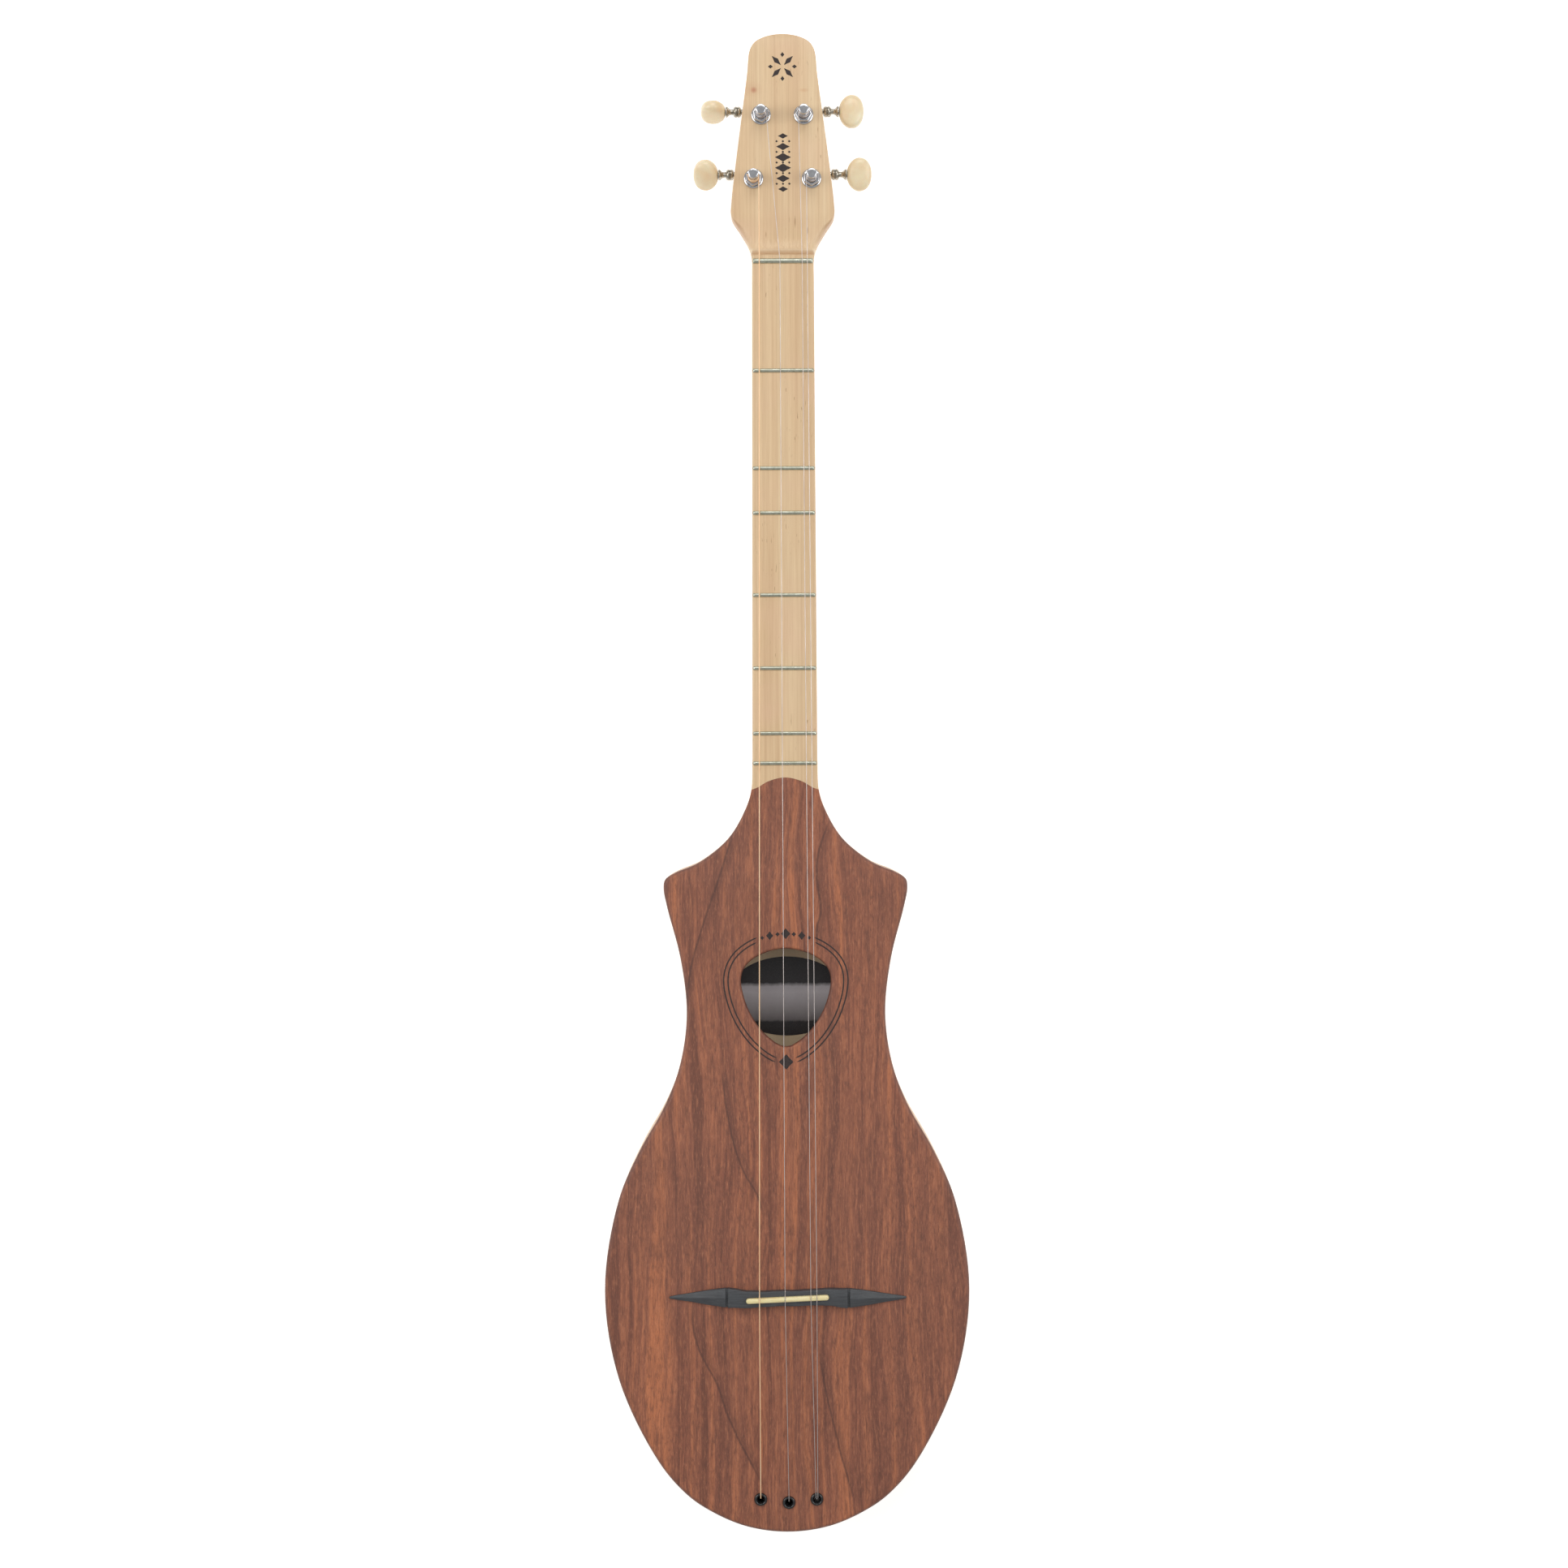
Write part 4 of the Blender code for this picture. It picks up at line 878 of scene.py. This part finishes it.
def make_rosette(ink):
    """Two burnt lines round the sound hole, with plain lozenges where they break off."""
    hole = mirrored(smooth(SOUND_HOLE, 12))
    low, high = TOP_Z - 0.3, TOP_Z + 0.03
    shapes = []
    for away in ROSETTE_LINES:
        loop = inset(hole, -away)
        for side in (1, -1):
            run = [p for p in loop if side * p.x > 0 and not (p.y > -110 and abs(p.x) < 16.2)
                   and not (p.y < -140 and abs(p.x) < 5.4)]
            run.sort(key=lambda p: math.atan2(p.y + 122, p.x * side))
            shapes.append(strip(run, 0.8, low, high))
    middle = inset(hole, -ROSETTE_MIDDLE)
    for x, length, width in ((0, 6.4, 5.4), (5.0, 2.8, 2.6), (9.0, 5.0, 4.2), (13.0, 2.4, 2.2)):
        for sign in (1, -1) if x else (1,):
            top = min((p for p in middle if p.y > -110), key=lambda p: abs(p.x - sign * x))
            shapes.append(lozenge(top, length, width, low, high))
    foot = min(middle, key=lambda p: p.y)
    shapes.append(lozenge(foot, 9.0, 8.4, low, high))
    piece("rosette_lines", joined(shapes), ink)


def make_head_ornament(ink):
    """Plain lozenges burnt into the headstock: a star of four near the tip and a row between the tuners."""
    low, high = HEAD_FACE_Z - 0.3, HEAD_FACE_Z + 0.03
    shapes = []
    star = Vector(STAR_AT)
    for i in range(8):
        long = i % 2
        turn = math.pi / 4 * i
        reach, length, width = (5.0, 7.6, 2.9) if long else (7.0, 3.0, 2.3)
        centre = star + Vector((math.cos(turn), math.sin(turn))) * reach
        shapes.append(lozenge(centre, length, width, low, high, turn - math.pi / 2))
    for i, size in enumerate(ROW_SIZES):
        y = ROW_AT[1] + ROW_PITCH * i
        shapes.append(lozenge((ROW_AT[0], y), 5.0 * size, 9.4 * size, low, high))
        if i < len(ROW_SIZES) - 1:
            for x in (-3.4, 0.3, 4.0):
                shapes.append(lozenge((x, y + ROW_PITCH / 2), 1.5, 1.5, low, high))
    piece("headstock_ornament", joined(shapes), ink)


# ---------------------------------------------------------------- frets, bridge and saddle

def fret_row():
    """(name, y, crown size) of every fret, the zero fret first."""
    row = [("fret_0", ZERO_FRET_Y, (2.9, 1.2))]
    saddle_y = ZERO_FRET_Y - SCALE
    for number, semitones in enumerate(FRET_SEMITONES, 1):
        row.append((f"fret_{number}", saddle_y + SCALE * 2 ** (-semitones / 12), (2.3, 1.0)))
    return row


def make_frets(metal):
    """Fret wire: a domed crown with filed, rounded ends, on a tang in its slot."""
    for name, y, (width, height) in fret_row():
        reach = neck_half_width(y) - FRET_INSET
        base = TOP_Z + HAIR
        rings = []
        for share, size in ((-1, 0.35), (-0.985, 0.72), (-0.96, 0.92), (-0.93, 1.0),
                            (0.93, 1.0), (0.96, 0.92), (0.985, 0.72), (1, 0.35)):
            crown = []
            for i in range(13):
                angle = math.pi * i / 12
                lip = 0.12 * height
                rise = lip + (height - HAIR - lip) * math.sin(angle) * size
                across = width / 2 * math.cos(angle) * mix(0.82, 1, size)
                crown.append((reach * share, y + across, base + rise))
            crown.append((reach * share, y - width / 2 * mix(0.82, 1, size), base))
            crown.append((reach * share, y + width / 2 * mix(0.82, 1, size), base))
            rings.append(crown)
        tang = TANG[0] / 2
        corners = [(-reach, y - tang), (reach, y - tang), (reach, y + tang), (-reach, y + tang)]
        tongue = plate([[Vector(corner) for corner in corners]], TOP_Z - TANG[1], base)
        piece(f"wire_{name}", joined([loft(rings), tongue]), metal, replaced=[name], sharp=40)


def bridge_ring(x, near, far, side_height, ridge, wing):
    """A section across the bridge: upright sides with eased corners, and a ridge along the middle."""
    centre = BRIDGE_CENTRE[1]
    base = TOP_Z + HAIR
    soft = min(0.45, (far - near) * 0.15, side_height * 0.3)
    middle = (near + far) / 2
    crest = (far - near) * mix(0.3, 0.03, wing)
    points = [(near, 0), (near, side_height - soft), (near + soft * 0.3, side_height - soft * 0.3),
              (near + soft, side_height), (middle - crest, ridge), (middle + crest, ridge),
              (far - soft, side_height), (far - soft * 0.3, side_height - soft * 0.3),
              (far, side_height - soft), (far, 0)]
    return [(x, centre + y, base + z) for y, z in points]


def bridge_stations():
    """The listed stations, with smooth runs put in except at the groove and its walls."""
    stations = []
    for start, end in zip(BRIDGE, BRIDGE[1:]):
        stations.append(start)
        if end[0] - start[0] > 3:
            for step in (0.25, 0.5, 0.75):
                t = step * step * (3 - 2 * step) if start[0] < 30 else step
                x = mix(start[0], end[0], step)
                stations.append((x, *[mix(a, b, t) for a, b in zip(start[1:], end[1:])]))
    last = BRIDGE[-1]
    tip = last[0]
    stations.append((tip - 0.5, last[1] * 1.25, last[2] * 1.4, last[3], last[4]))
    stations.append((tip, last[1] * 0.5, last[2] * 0.5, last[3] * 0.7, last[4] * 0.7))
    return stations


def make_bridge(black, bone):
    rings = []
    for x, near, far, low, high in bridge_stations():
        wing = ease(x, (30, 36.2))
        rings.append((x, near, far, low, high, wing))
    right = [bridge_ring(BRIDGE_CENTRE[0] + x, near, far, low, high, wing)
             for x, near, far, low, high, wing in rings]
    left = [bridge_ring(BRIDGE_CENTRE[0] - x, -far, -near, low, high, wing)
            for x, near, far, low, high, wing in rings]
    bridge = loft([*reversed(left), *right])
    length, width = SADDLE_SIZE
    slot = capsule(SADDLE_AT, length + 0.2, width + 0.2, SADDLE_SLANT)
    bridge = carved(bridge, plate([slot], SADDLE_Z[0] - HAIR, ABOVE_ALL))
    piece("winged_bridge", bridge, black, replaced=["bridge"], sharp=20)
    outline = capsule(SADDLE_AT, length, width, SADDLE_SLANT)
    crown = quarter_round(outline, [1.3] * len(outline), SADDLE_Z[1], steps=7)
    piece("bone_saddle", slab([[*crown, level(outline, SADDLE_Z[0])]]), bone, replaced=["saddle"], sharp=40)


# ---------------------------------------------------------------- ferrules and strings

def make_ferrules(plastic, metal):
    """Black grommets in the soundboard, and the cups in the back that hold the ball ends."""
    way = 1.65
    for number, (x, y) in enumerate(FERRULES, 1):
        front = [(way, 38), (way, 44.9), (2.35, 46.1), (2.75, 46.4), (3.3, 46.3), (3.75, 45.7),
                 (3.8, TOP_Z + HAIR), (FERRULE_BARREL, TOP_Z + HAIR), (FERRULE_BARREL, 38)]
        front = rounded(front, 0.3, 3, closed=True)
        piece(f"grommet_{number}", turned(front, (x, y, 0), 48, hollow=True), plastic,
              replaced=[f"front_ferrule_{number}"], sharp=50)
        wide = BALL_SPACING if number == len(FERRULES) else 0
        cup, outer, string_way = 2.5 + wide, 3.8 + wide, 1.3 + wide
        back = [(string_way, 8.3), (outer, 8.3), (outer, 1.2), (outer + 1.1, 1.2), (outer + 1.1, 0.3),
                (cup, 0.3), (cup, 6.6), (string_way, 6.6)]
        back = rounded(back, 0.35, 3, closed=True)
        piece(f"string_cup_{number}", turned(back, (x, y, 0), 48, hollow=True), metal,
              replaced=[f"back_ferrule_{number}"], sharp=50)


def string_route(radius, tuner, x_zero, x_saddle, ferrule, offset):
    """The string's path from its post to just above its ball."""
    side, x, y, _ = TUNERS[tuner]
    leaves = Vector((side * (x - WINDING_INNER - radius), y, WINDING_Z + radius))
    zero = Vector((x_zero, ZERO_FRET_Y, TOP_Z + 1.2 + STRING_LIFT / 2 + radius))
    slant = (x_saddle - SADDLE_AT[0]) * math.tan(SADDLE_SLANT)
    saddle = Vector((x_saddle, SADDLE_AT[1] + slant, SADDLE_Z[1] + STRING_LIFT / 2 + radius))
    hole_x, hole_y = FERRULES[ferrule]
    hole_x += offset
    spread = math.copysign(BALL_SPACING, offset) - offset if offset else 0
    return [leaves, zero, saddle, Vector((hole_x, hole_y + 1.2, TOP_Z + 2.0)),
            Vector((hole_x, hole_y + 0.7, TOP_Z + 0.6)), Vector((hole_x, hole_y, TOP_Z - 5)),
            Vector((hole_x, hole_y, 38)), Vector((hole_x + spread, hole_y, 9)),
            Vector((hole_x + spread, hole_y, 5.4))]


def winding_route(radius, side):
    """The turns round a post, from where the string reaches it to the cut tail past the cross hole."""
    centre = WINDING_INNER + radius
    low = WINDING_Z + radius
    steps = 26
    points = []
    for i in range(WINDING_TURNS * steps + 1):
        turns = i / steps
        angle = math.pi - 2 * math.pi * turns
        rise = max(turns - 1, 0) * 2.06 * radius
        z = mix(low + rise, POST_HOLE_Z, ease(turns, (WINDING_TURNS - 0.5, WINDING_TURNS)))
        points.append(Vector((side * centre * math.cos(angle), centre * math.sin(angle), z)))
    return [*points, Vector((0, 0, POST_HOLE_Z)), Vector((side * 3.9, 0, POST_HOLE_Z))]


def make_strings(bronze, steel):
    for name, radius, tuner, x_zero, x_saddle, ferrule, offset in STRINGS:
        look = bronze if ferrule == 0 else steel
        route = string_route(radius, tuner, x_zero, x_saddle, ferrule, offset)
        end = route[-1]
        ball = [(0, 0.2), (0.9, 0.2), (1.6, 0.1), (BALL, -0.4), (BALL, -2.6), (1.6, -3.1), (0.9, -3.15),
                (0, -3.1)]
        ball = turned(rounded(ball, 0.25, 3), end, 28)
        wire = tube(rounded(route, 1.1, 5), radius, 12)
        piece(f"wire_{name}", joined([wire, ball]), look, replaced=[name], sharp=50)
        side, x, y, _ = TUNERS[tuner]
        coil = moved(tube(winding_route(radius, side), radius, 10), Matrix.Translation((side * x, y, 0)))
        piece(f"coil_{name}", coil, look, f"string_post_{tuner}", replaced=[f"{name}_winding"], sharp=60)


# ---------------------------------------------------------------- tuners

def slotted_head(at, radius, low, high, turn):
    """A domed screw head that faces down, with a slot across it."""
    profile = [(0, low), (radius * 0.5, low + 0.04), (radius * 0.82, low + 0.28), (radius, high - 0.35),
               (radius, high), (0, high)]
    head = turned(rounded(profile, 0.2, 3), steps=32)
    cut = [Vector((-radius - 1, -0.32)), Vector((radius + 1, -0.32)), Vector((radius + 1, 0.32)),
           Vector((-radius - 1, 0.32))]
    head = carved(head, plate([cut], low - 1, low + 0.55))
    return moved(head, Matrix.Translation(at) @ Matrix.Rotation(math.radians(turn), 4, "Z"))


def make_post(name, at, chrome):
    """The string post: a domed top, a waist with the string's cross hole, and a long journal."""
    low, high = WAIST_Z
    profile = [(0, POST_TOP), (1.6, POST_TOP - 0.02), (2.5, POST_TOP - 0.1), (2.8, POST_TOP - 0.3),
               (2.95, POST_TOP - 0.65), (2.95, high + 0.4), (2.74, high), (2.74, low), (2.95, low - 0.4),
               (2.95, 20.9), (2.0, 20.8), (2.0, 17.6), (0, 17.6)]
    post = turned(rounded(profile, 0.18, 3), steps=40)
    along = Matrix.Translation((-5, 0, POST_HOLE_Z)) @ Matrix.Rotation(math.pi / 2, 4, "Y")
    hole = moved(turned([(0, 0), (0.55, 0), (0.55, 10), (0, 10)], steps=16), along)
    post = moved(carved(post, hole), Matrix.Translation(at))
    piece(f"string_post_{name}_turned", post, chrome, f"string_post_{name}", replaced=[f"post_{name}"],
          sharp=40)


def make_bushing(name, at, turn, chrome):
    """A dished washer on the face and the hexagonal bushing that screws down through the headstock."""
    low = HEAD_FACE_Z + HAIR
    washer = [(4.3, low + 1.0), (5.0, low + 1.12), (5.6, low + 0.85), (5.8, low + 0.4), (5.8, low),
              (4.3, low)]
    dish = turned(rounded(washer, 0.2, 3, closed=True), at, 56, hollow=True)
    piece(f"dished_washer_{name}", dish, chrome, replaced=[f"washer_{name}"], sharp=50)
    seat = low + 1.2
    crown = 42.7
    nut = rounded(ring((0, 0), 5.2, 6, turn), 0.5, 3, closed=True)
    loops = [level(inset(nut, 0.75), crown), level(inset(nut, 0.32), crown - 0.14),
             level(inset(nut, 0.06), crown - 0.5), level(nut, crown - 0.8), level(nut, seat + 0.25),
             level(inset(nut, 0.3), seat)]
    bore = ring((0, 0), 3.05, 40)
    inner = [level(ring((0, 0), 3.4, 40), crown), level(bore, crown - 0.3), level(bore, seat)]
    barrel = turned([(3.05, seat - HAIR), (4.0, seat - HAIR), (4.0, 25), (3.05, 25)], steps=40, hollow=True)
    nut = moved(joined([slab([loops, inner]), barrel]), Matrix.Translation(at))
    piece(f"hexagon_bushing_{name}", nut, chrome, replaced=[f"bushing_{name}"], sharp=30)


def gear_outline():
    points = []
    pitch = 2 * math.pi / GEAR_TEETH
    for tooth in range(GEAR_TEETH):
        middle = math.pi / 2 + tooth * pitch
        for radius, half in ((GEAR_ROOT, -7.2), (GEAR_PITCH, -4.4), (GEAR_TIP - 0.1, -1.9), (GEAR_TIP, 0),
                             (GEAR_TIP - 0.1, 1.9), (GEAR_PITCH, 4.4), (GEAR_ROOT, 7.2)):
            angle = middle + math.radians(half)
            points.append(Vector((radius * math.cos(angle), radius * math.sin(angle))))
    return points


def make_gear(name, side, at, brass, nickel):
    """A machined gear whose teeth lean with the worm's thread, a raised hub, and the screw that holds it."""
    lean = side * LEAD / (2 * math.pi * WORM_PITCH) / GEAR_PITCH  # radians for each millimetre of height
    teeth = []
    for height, away in ((GEAR_HALF, 0.18), (GEAR_HALF - 0.16, 0), (0.5, 0), (-0.5, 0),
                         (-GEAR_HALF + 0.16, 0), (-GEAR_HALF, 0.18)):
        spin = Matrix.Rotation(lean * height, 2)
        teeth.append(level([spin @ point for point in inset(gear_outline(), away)], height))
    bore = ring((0, 0), 2.02, 32)
    gear = slab([teeth, [level(bore, GEAR_HALF), level(bore, -GEAR_HALF)]])
    hub = [(2.02, GEAR_HALF + HAIR), (3.2, GEAR_HALF + HAIR), (3.0, 1.75), (2.02, 1.75)]
    hub = turned(rounded(hub, 0.1, 2, closed=True), steps=32, hollow=True)
    piece(f"machined_gear_{name}", moved(joined([gear, hub]), Matrix.Translation(at)), brass,
          f"string_post_{name}", replaced=[f"gear_{name}"], sharp=32)
    low = WORM_Z - GEAR_HALF
    screw = slotted_head((at[0], at[1], 0), 2.7, low - 1.4, low - HAIR, 35 * side + at[1])
    piece(f"gear_screw_{name}", screw, nickel, f"string_post_{name}", sharp=35)


def thread_radius(angle):
    """The worm's section: a rounded crest at angle 0 and a flat root."""
    away = abs((angle + math.pi) % (2 * math.pi) - math.pi) / math.pi
    return mix(WORM_CREST, WORM_ROOT, ease(away, (0.16, 0.52)))


def make_worm(name, side, at, nickel):
    """The worm, its journals, and outside the headstock a bead and a flare that carries the button."""
    sides = 28
    turn = 2 * math.pi / LEAD
    rings = []

    def add_ring(x, radius_at):
        angles = [2 * math.pi * i / sides for i in range(sides)]
        rings.append([(side * x, radius_at(a) * math.cos(a), radius_at(a) * math.sin(a)) for a in angles])

    for x, radius in ((-7.2, 0.9), (-6.95, 1.3), (-4.2, 1.3), (-3.9, 1.15)):
        add_ring(x, lambda angle, radius=radius: radius)
    steps = round(2 * WORM_HALF / LEAD * 20)
    for step in range(steps + 1):
        x = mix(-WORM_HALF, WORM_HALF, step / steps)
        fade = ease(WORM_HALF - abs(x), (0, 0.5))
        add_ring(x, lambda angle, x=x, fade=fade: mix(WORM_ROOT, thread_radius(angle - x * turn), fade))
    outer = [(3.9, 1.15), (4.2, 1.3), (7.2, 1.3), (7.5, 1.65), (11.8, 1.65), (12.1, 2.5), (12.6, 3.0),
             (13.3, 3.15), (13.9, 3.12), (14.2, 2.75), (14.5, 3.12), (15.1, 3.15), (15.8, 3.0), (16.3, 2.5),
             (16.6, 1.7), (17.6, 1.55), (18.5, 1.7), (19.2, 2.25), (19.9, 2.95), (20.6, 3.2), (21.0, 3.1),
             (21.05, 1.4), (26, 1.4)]
    for x, radius in outer:
        add_ring(x, lambda angle, radius=radius: radius)
    piece(f"worm_shaft_{name}", moved(loft(rings), Matrix.Translation(at)), nickel, f"button_shaft_{name}",
          replaced=[f"worm_{name}"], sharp=40)


def make_button(name, side, at, turn, cream):
    """An oval button with full, flattened faces; its rim is round and it narrows a little at the shaft."""
    around, over = 56, 28
    wide, tall, thick = (size / 2 for size in BUTTON_SIZE)
    rows = []
    for j in range(over + 1):
        tilt = math.pi * (j / over - 0.5)
        row = []
        for i in range(around):
            angle = 2 * math.pi * i / around
            x, y, z = (math.cos(tilt) * math.cos(angle), math.cos(tilt) * math.sin(angle), math.sin(tilt))
            flat = (abs(x) ** BUTTON_OVAL + abs(y) ** BUTTON_OVAL) ** (1 / BUTTON_OVAL)
            swell = (flat**BUTTON_RIM + abs(z) ** BUTTON_RIM) ** (-1 / BUTTON_RIM)
            x, y, z = x * swell, y * swell, z * swell
            pinch = 1 - BUTTON_PINCH * ease(-x, (0.0, 1.0))
            row.append((side * x * wide, y * tall * pinch, z * thick))
        rows.append(row if 0 < j < over else row[:1])
    shape = bmesh.new()
    loops = [[shape.verts.new(point) for point in row] for row in rows]
    wrap(shape, zip(loops, loops[1:]), around)
    spin = Matrix.Translation(at) @ Matrix.Rotation(math.radians(turn), 4, "X")
    piece(f"oval_button_{name}", moved(shape, spin), cream, f"button_shaft_{name}",
          replaced=[f"button_{name}"], sharp=60)


TO_X = Matrix(((0, 0, 1), (1, 0, 0), (0, 1, 0))).to_4x4()  # turns a plate's thickness from Z to X


def make_base_plate(name, side, x, y, nickel):
    """The stamped plate under the headstock, its two lugs round the worm shaft, and its two screws."""
    outline = [(-4, -12), (4, -12), (7, -8.5), (7, 12.5), (4, 15.5), (-4, 15.5), (-7, 12.5), (-7, -8.5)]
    outline = rounded(outline, 1.6, 4, closed=True)
    low, high = PLATE_Z[0] + 0.2, HEAD_BACK_Z - HAIR
    edge = [level(outline, high), level(outline, low + 0.3), level(inset(outline, 0.09), low + 0.09),
            level(inset(outline, 0.3), low)]
    holes = [ring((0, 0), 3.3, 32), ring((0, -9.6), 1.3, 16), ring((0, 13.0), 1.3, 16)]
    stamped = slab([edge, *[[level(hole, high), level(hole, low)] for hole in holes]])
    half = [(2.7, low + 0.6), (2.7, WORM_Z - 0.6), (1.6, WORM_Z - 2.6)]
    lug = [(WORM_OFFSET + reach, z) for reach, z in half]
    lug += [(WORM_OFFSET - reach, z) for reach, z in reversed(half)]
    lug = rounded(lug, 1.1, 4, closed=True)
    journal = ring((WORM_OFFSET, WORM_Z), 1.72, 28)
    for direction in (side, -side):
        near, far = sorted((direction * LUG[0], direction * LUG[1]))
        stamped = carved(stamped, moved(plate([lug, journal], near, far), TO_X), "UNION")
    at = Matrix.Translation((side * x, y, 0))
    piece(f"stamped_plate_{name}", moved(stamped, at), nickel, replaced=[f"base_plate_{name}"], sharp=32)
    for tag, away, turn in (("lower", -9.6, 20), ("upper", 13.0, 105)):
        head = slotted_head((side * x, y + away, 0), 2.1, low - 1.05, low - HAIR, turn * side + x)
        piece(f"plate_screw_{tag}_{name}", head, nickel, sharp=35)


def make_tuner(name, chrome, nickel, brass, cream):
    side, x, y, turn = TUNERS[name]
    make_post(name, (side * x, y, 0), chrome)
    make_bushing(name, (side * x, y, 0), math.radians(7 * turn), chrome)
    make_base_plate(name, side, x, y, nickel)
    make_gear(name, side, (side * x, y, WORM_Z), brass, nickel)
    make_worm(name, side, (side * x, y + WORM_OFFSET, WORM_Z), nickel)
    make_button(name, side, (side * (x + BUTTON_AT), y + WORM_OFFSET, WORM_Z), turn, cream)


# ---------------------------------------------------------------- floor, light and camera

def make_floor():
    """A wide pale floor that glows a little, so that it stays near white round the object."""
    mesh = bpy.data.meshes.new("floor")
    reach = 6.0
    mesh.from_pydata([(-reach, -reach, 0), (reach, -reach, 0), (reach, reach, 0), (-reach, reach, 0)], [],
                     [(0, 1, 2, 3)])
    floor = bpy.data.objects.new("floor", mesh)
    floor.location.z = -0.0004
    bpy.context.scene.collection.objects.link(floor)
    look = Look("pale_floor", "", 0.9, Emission_Strength=0.55)
    look.set(Base_Color=srgb(236, 236, 236), Emission_Color=(1, 1, 1, 1))
    mesh.materials.append(look.material)


def add_light(name, place, aim, size, power, colour=(1, 1, 1)):
    light = bpy.data.lights.new(name, "AREA")
    light.shape = "RECTANGLE"
    light.size, light.size_y = size
    light.energy = power
    light.color = colour
    obj = bpy.data.objects.new(name, light)
    obj.location = place
    obj.rotation_euler = (Vector(aim) - Vector(place)).to_track_quat("-Z", "Y").to_euler()
    bpy.context.scene.collection.objects.link(obj)


def make_studio():
    world = bpy.data.worlds.new("studio")
    bpy.context.scene.world = world
    world.use_nodes = True
    world.node_tree.nodes["Background"].inputs["Color"].default_value = (1, 1, 1, 1)
    world.node_tree.nodes["Background"].inputs["Strength"].default_value = 0.42
    add_light("left_softbox", (-1.5, 0.35, 1.5), (0, 0, 0), (1.2, 1.6), 15)
    add_light("right_softbox", (1.5, 0.25, 1.5), (0, 0, 0), (1.2, 1.6), 12.5)
    add_light("head_softbox", (0.1, 1.5, 1.6), (0, 0, 0), (1.4, 0.8), 10)
    bpy.context.scene.view_settings.view_transform = "Standard"


def make_camera():
    """Straight above the soundboard, turned a quarter of a degree, as the photograph sees it."""
    camera = bpy.data.cameras.new("camera")
    camera.sensor_width = 36
    camera.lens = 56.1
    camera.clip_start = 0.05
    camera.clip_end = 50
    obj = bpy.data.objects.new("camera", camera)
    obj.location = (-0.0006, -0.0007, TOP_Z * MM + 1.42)
    obj.rotation_euler = (0, 0, math.radians(-0.239))
    bpy.context.scene.collection.objects.link(obj)
    bpy.context.scene.camera = obj


def paint_node(name, look):
    """Gives a CAD node that stays in view its finished material."""
    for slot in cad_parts[name].material_slots:
        slot.material = look.material


def main():
    make_camera()
    make_studio()
    make_floor()
    maple = maple_look()
    mahogany = mahogany_look()
    spruce = spruce_look()
    black_wood = black_wood_look()
    ink = ink_look()
    bone = bone_look()
    fret_metal = metal_look("fret_wire", "nickel_silver", (200, 202, 186), (166, 168, 148), (0.26, 0.42))
    chrome = metal_look("chrome_plate", "chrome", (214, 216, 220), (196, 196, 200), (0.07, 0.16), 3.0, 0.006)
    nickel = metal_look("aged_nickel_plate", "aged_nickel", (196, 190, 178), (124, 114, 96), (0.18, 0.4), 1.6)
    brass = metal_look("machined_brass", "brass", (206, 176, 110), (160, 124, 70), (0.24, 0.4))
    cream = cream_plastic_look()
    black = black_plastic_look()
    steel = string_look("plain_wire", "string_steel", (226, 218, 214), (198, 188, 184), 3.0, 1.0)
    bronze = string_look("wound_wire", "string_bronze", (255, 222, 182), (248, 200, 152), 0.22, 0.4)
    make_core(maple)
    make_soundboard(mahogany)
    make_label(label_look())
    make_rosette(ink)
    make_head_ornament(ink)
    make_frets(fret_metal)
    make_bridge(black_wood, bone)
    make_ferrules(black, chrome)
    make_strings(bronze, steel)
    for name in TUNERS:
        make_tuner(name, chrome, nickel, brass, cream)
    for name, look in (("upper_brace", spruce), ("lower_brace", spruce), ("bridge_plate", maple)):
        paint_node(name, look)


main()
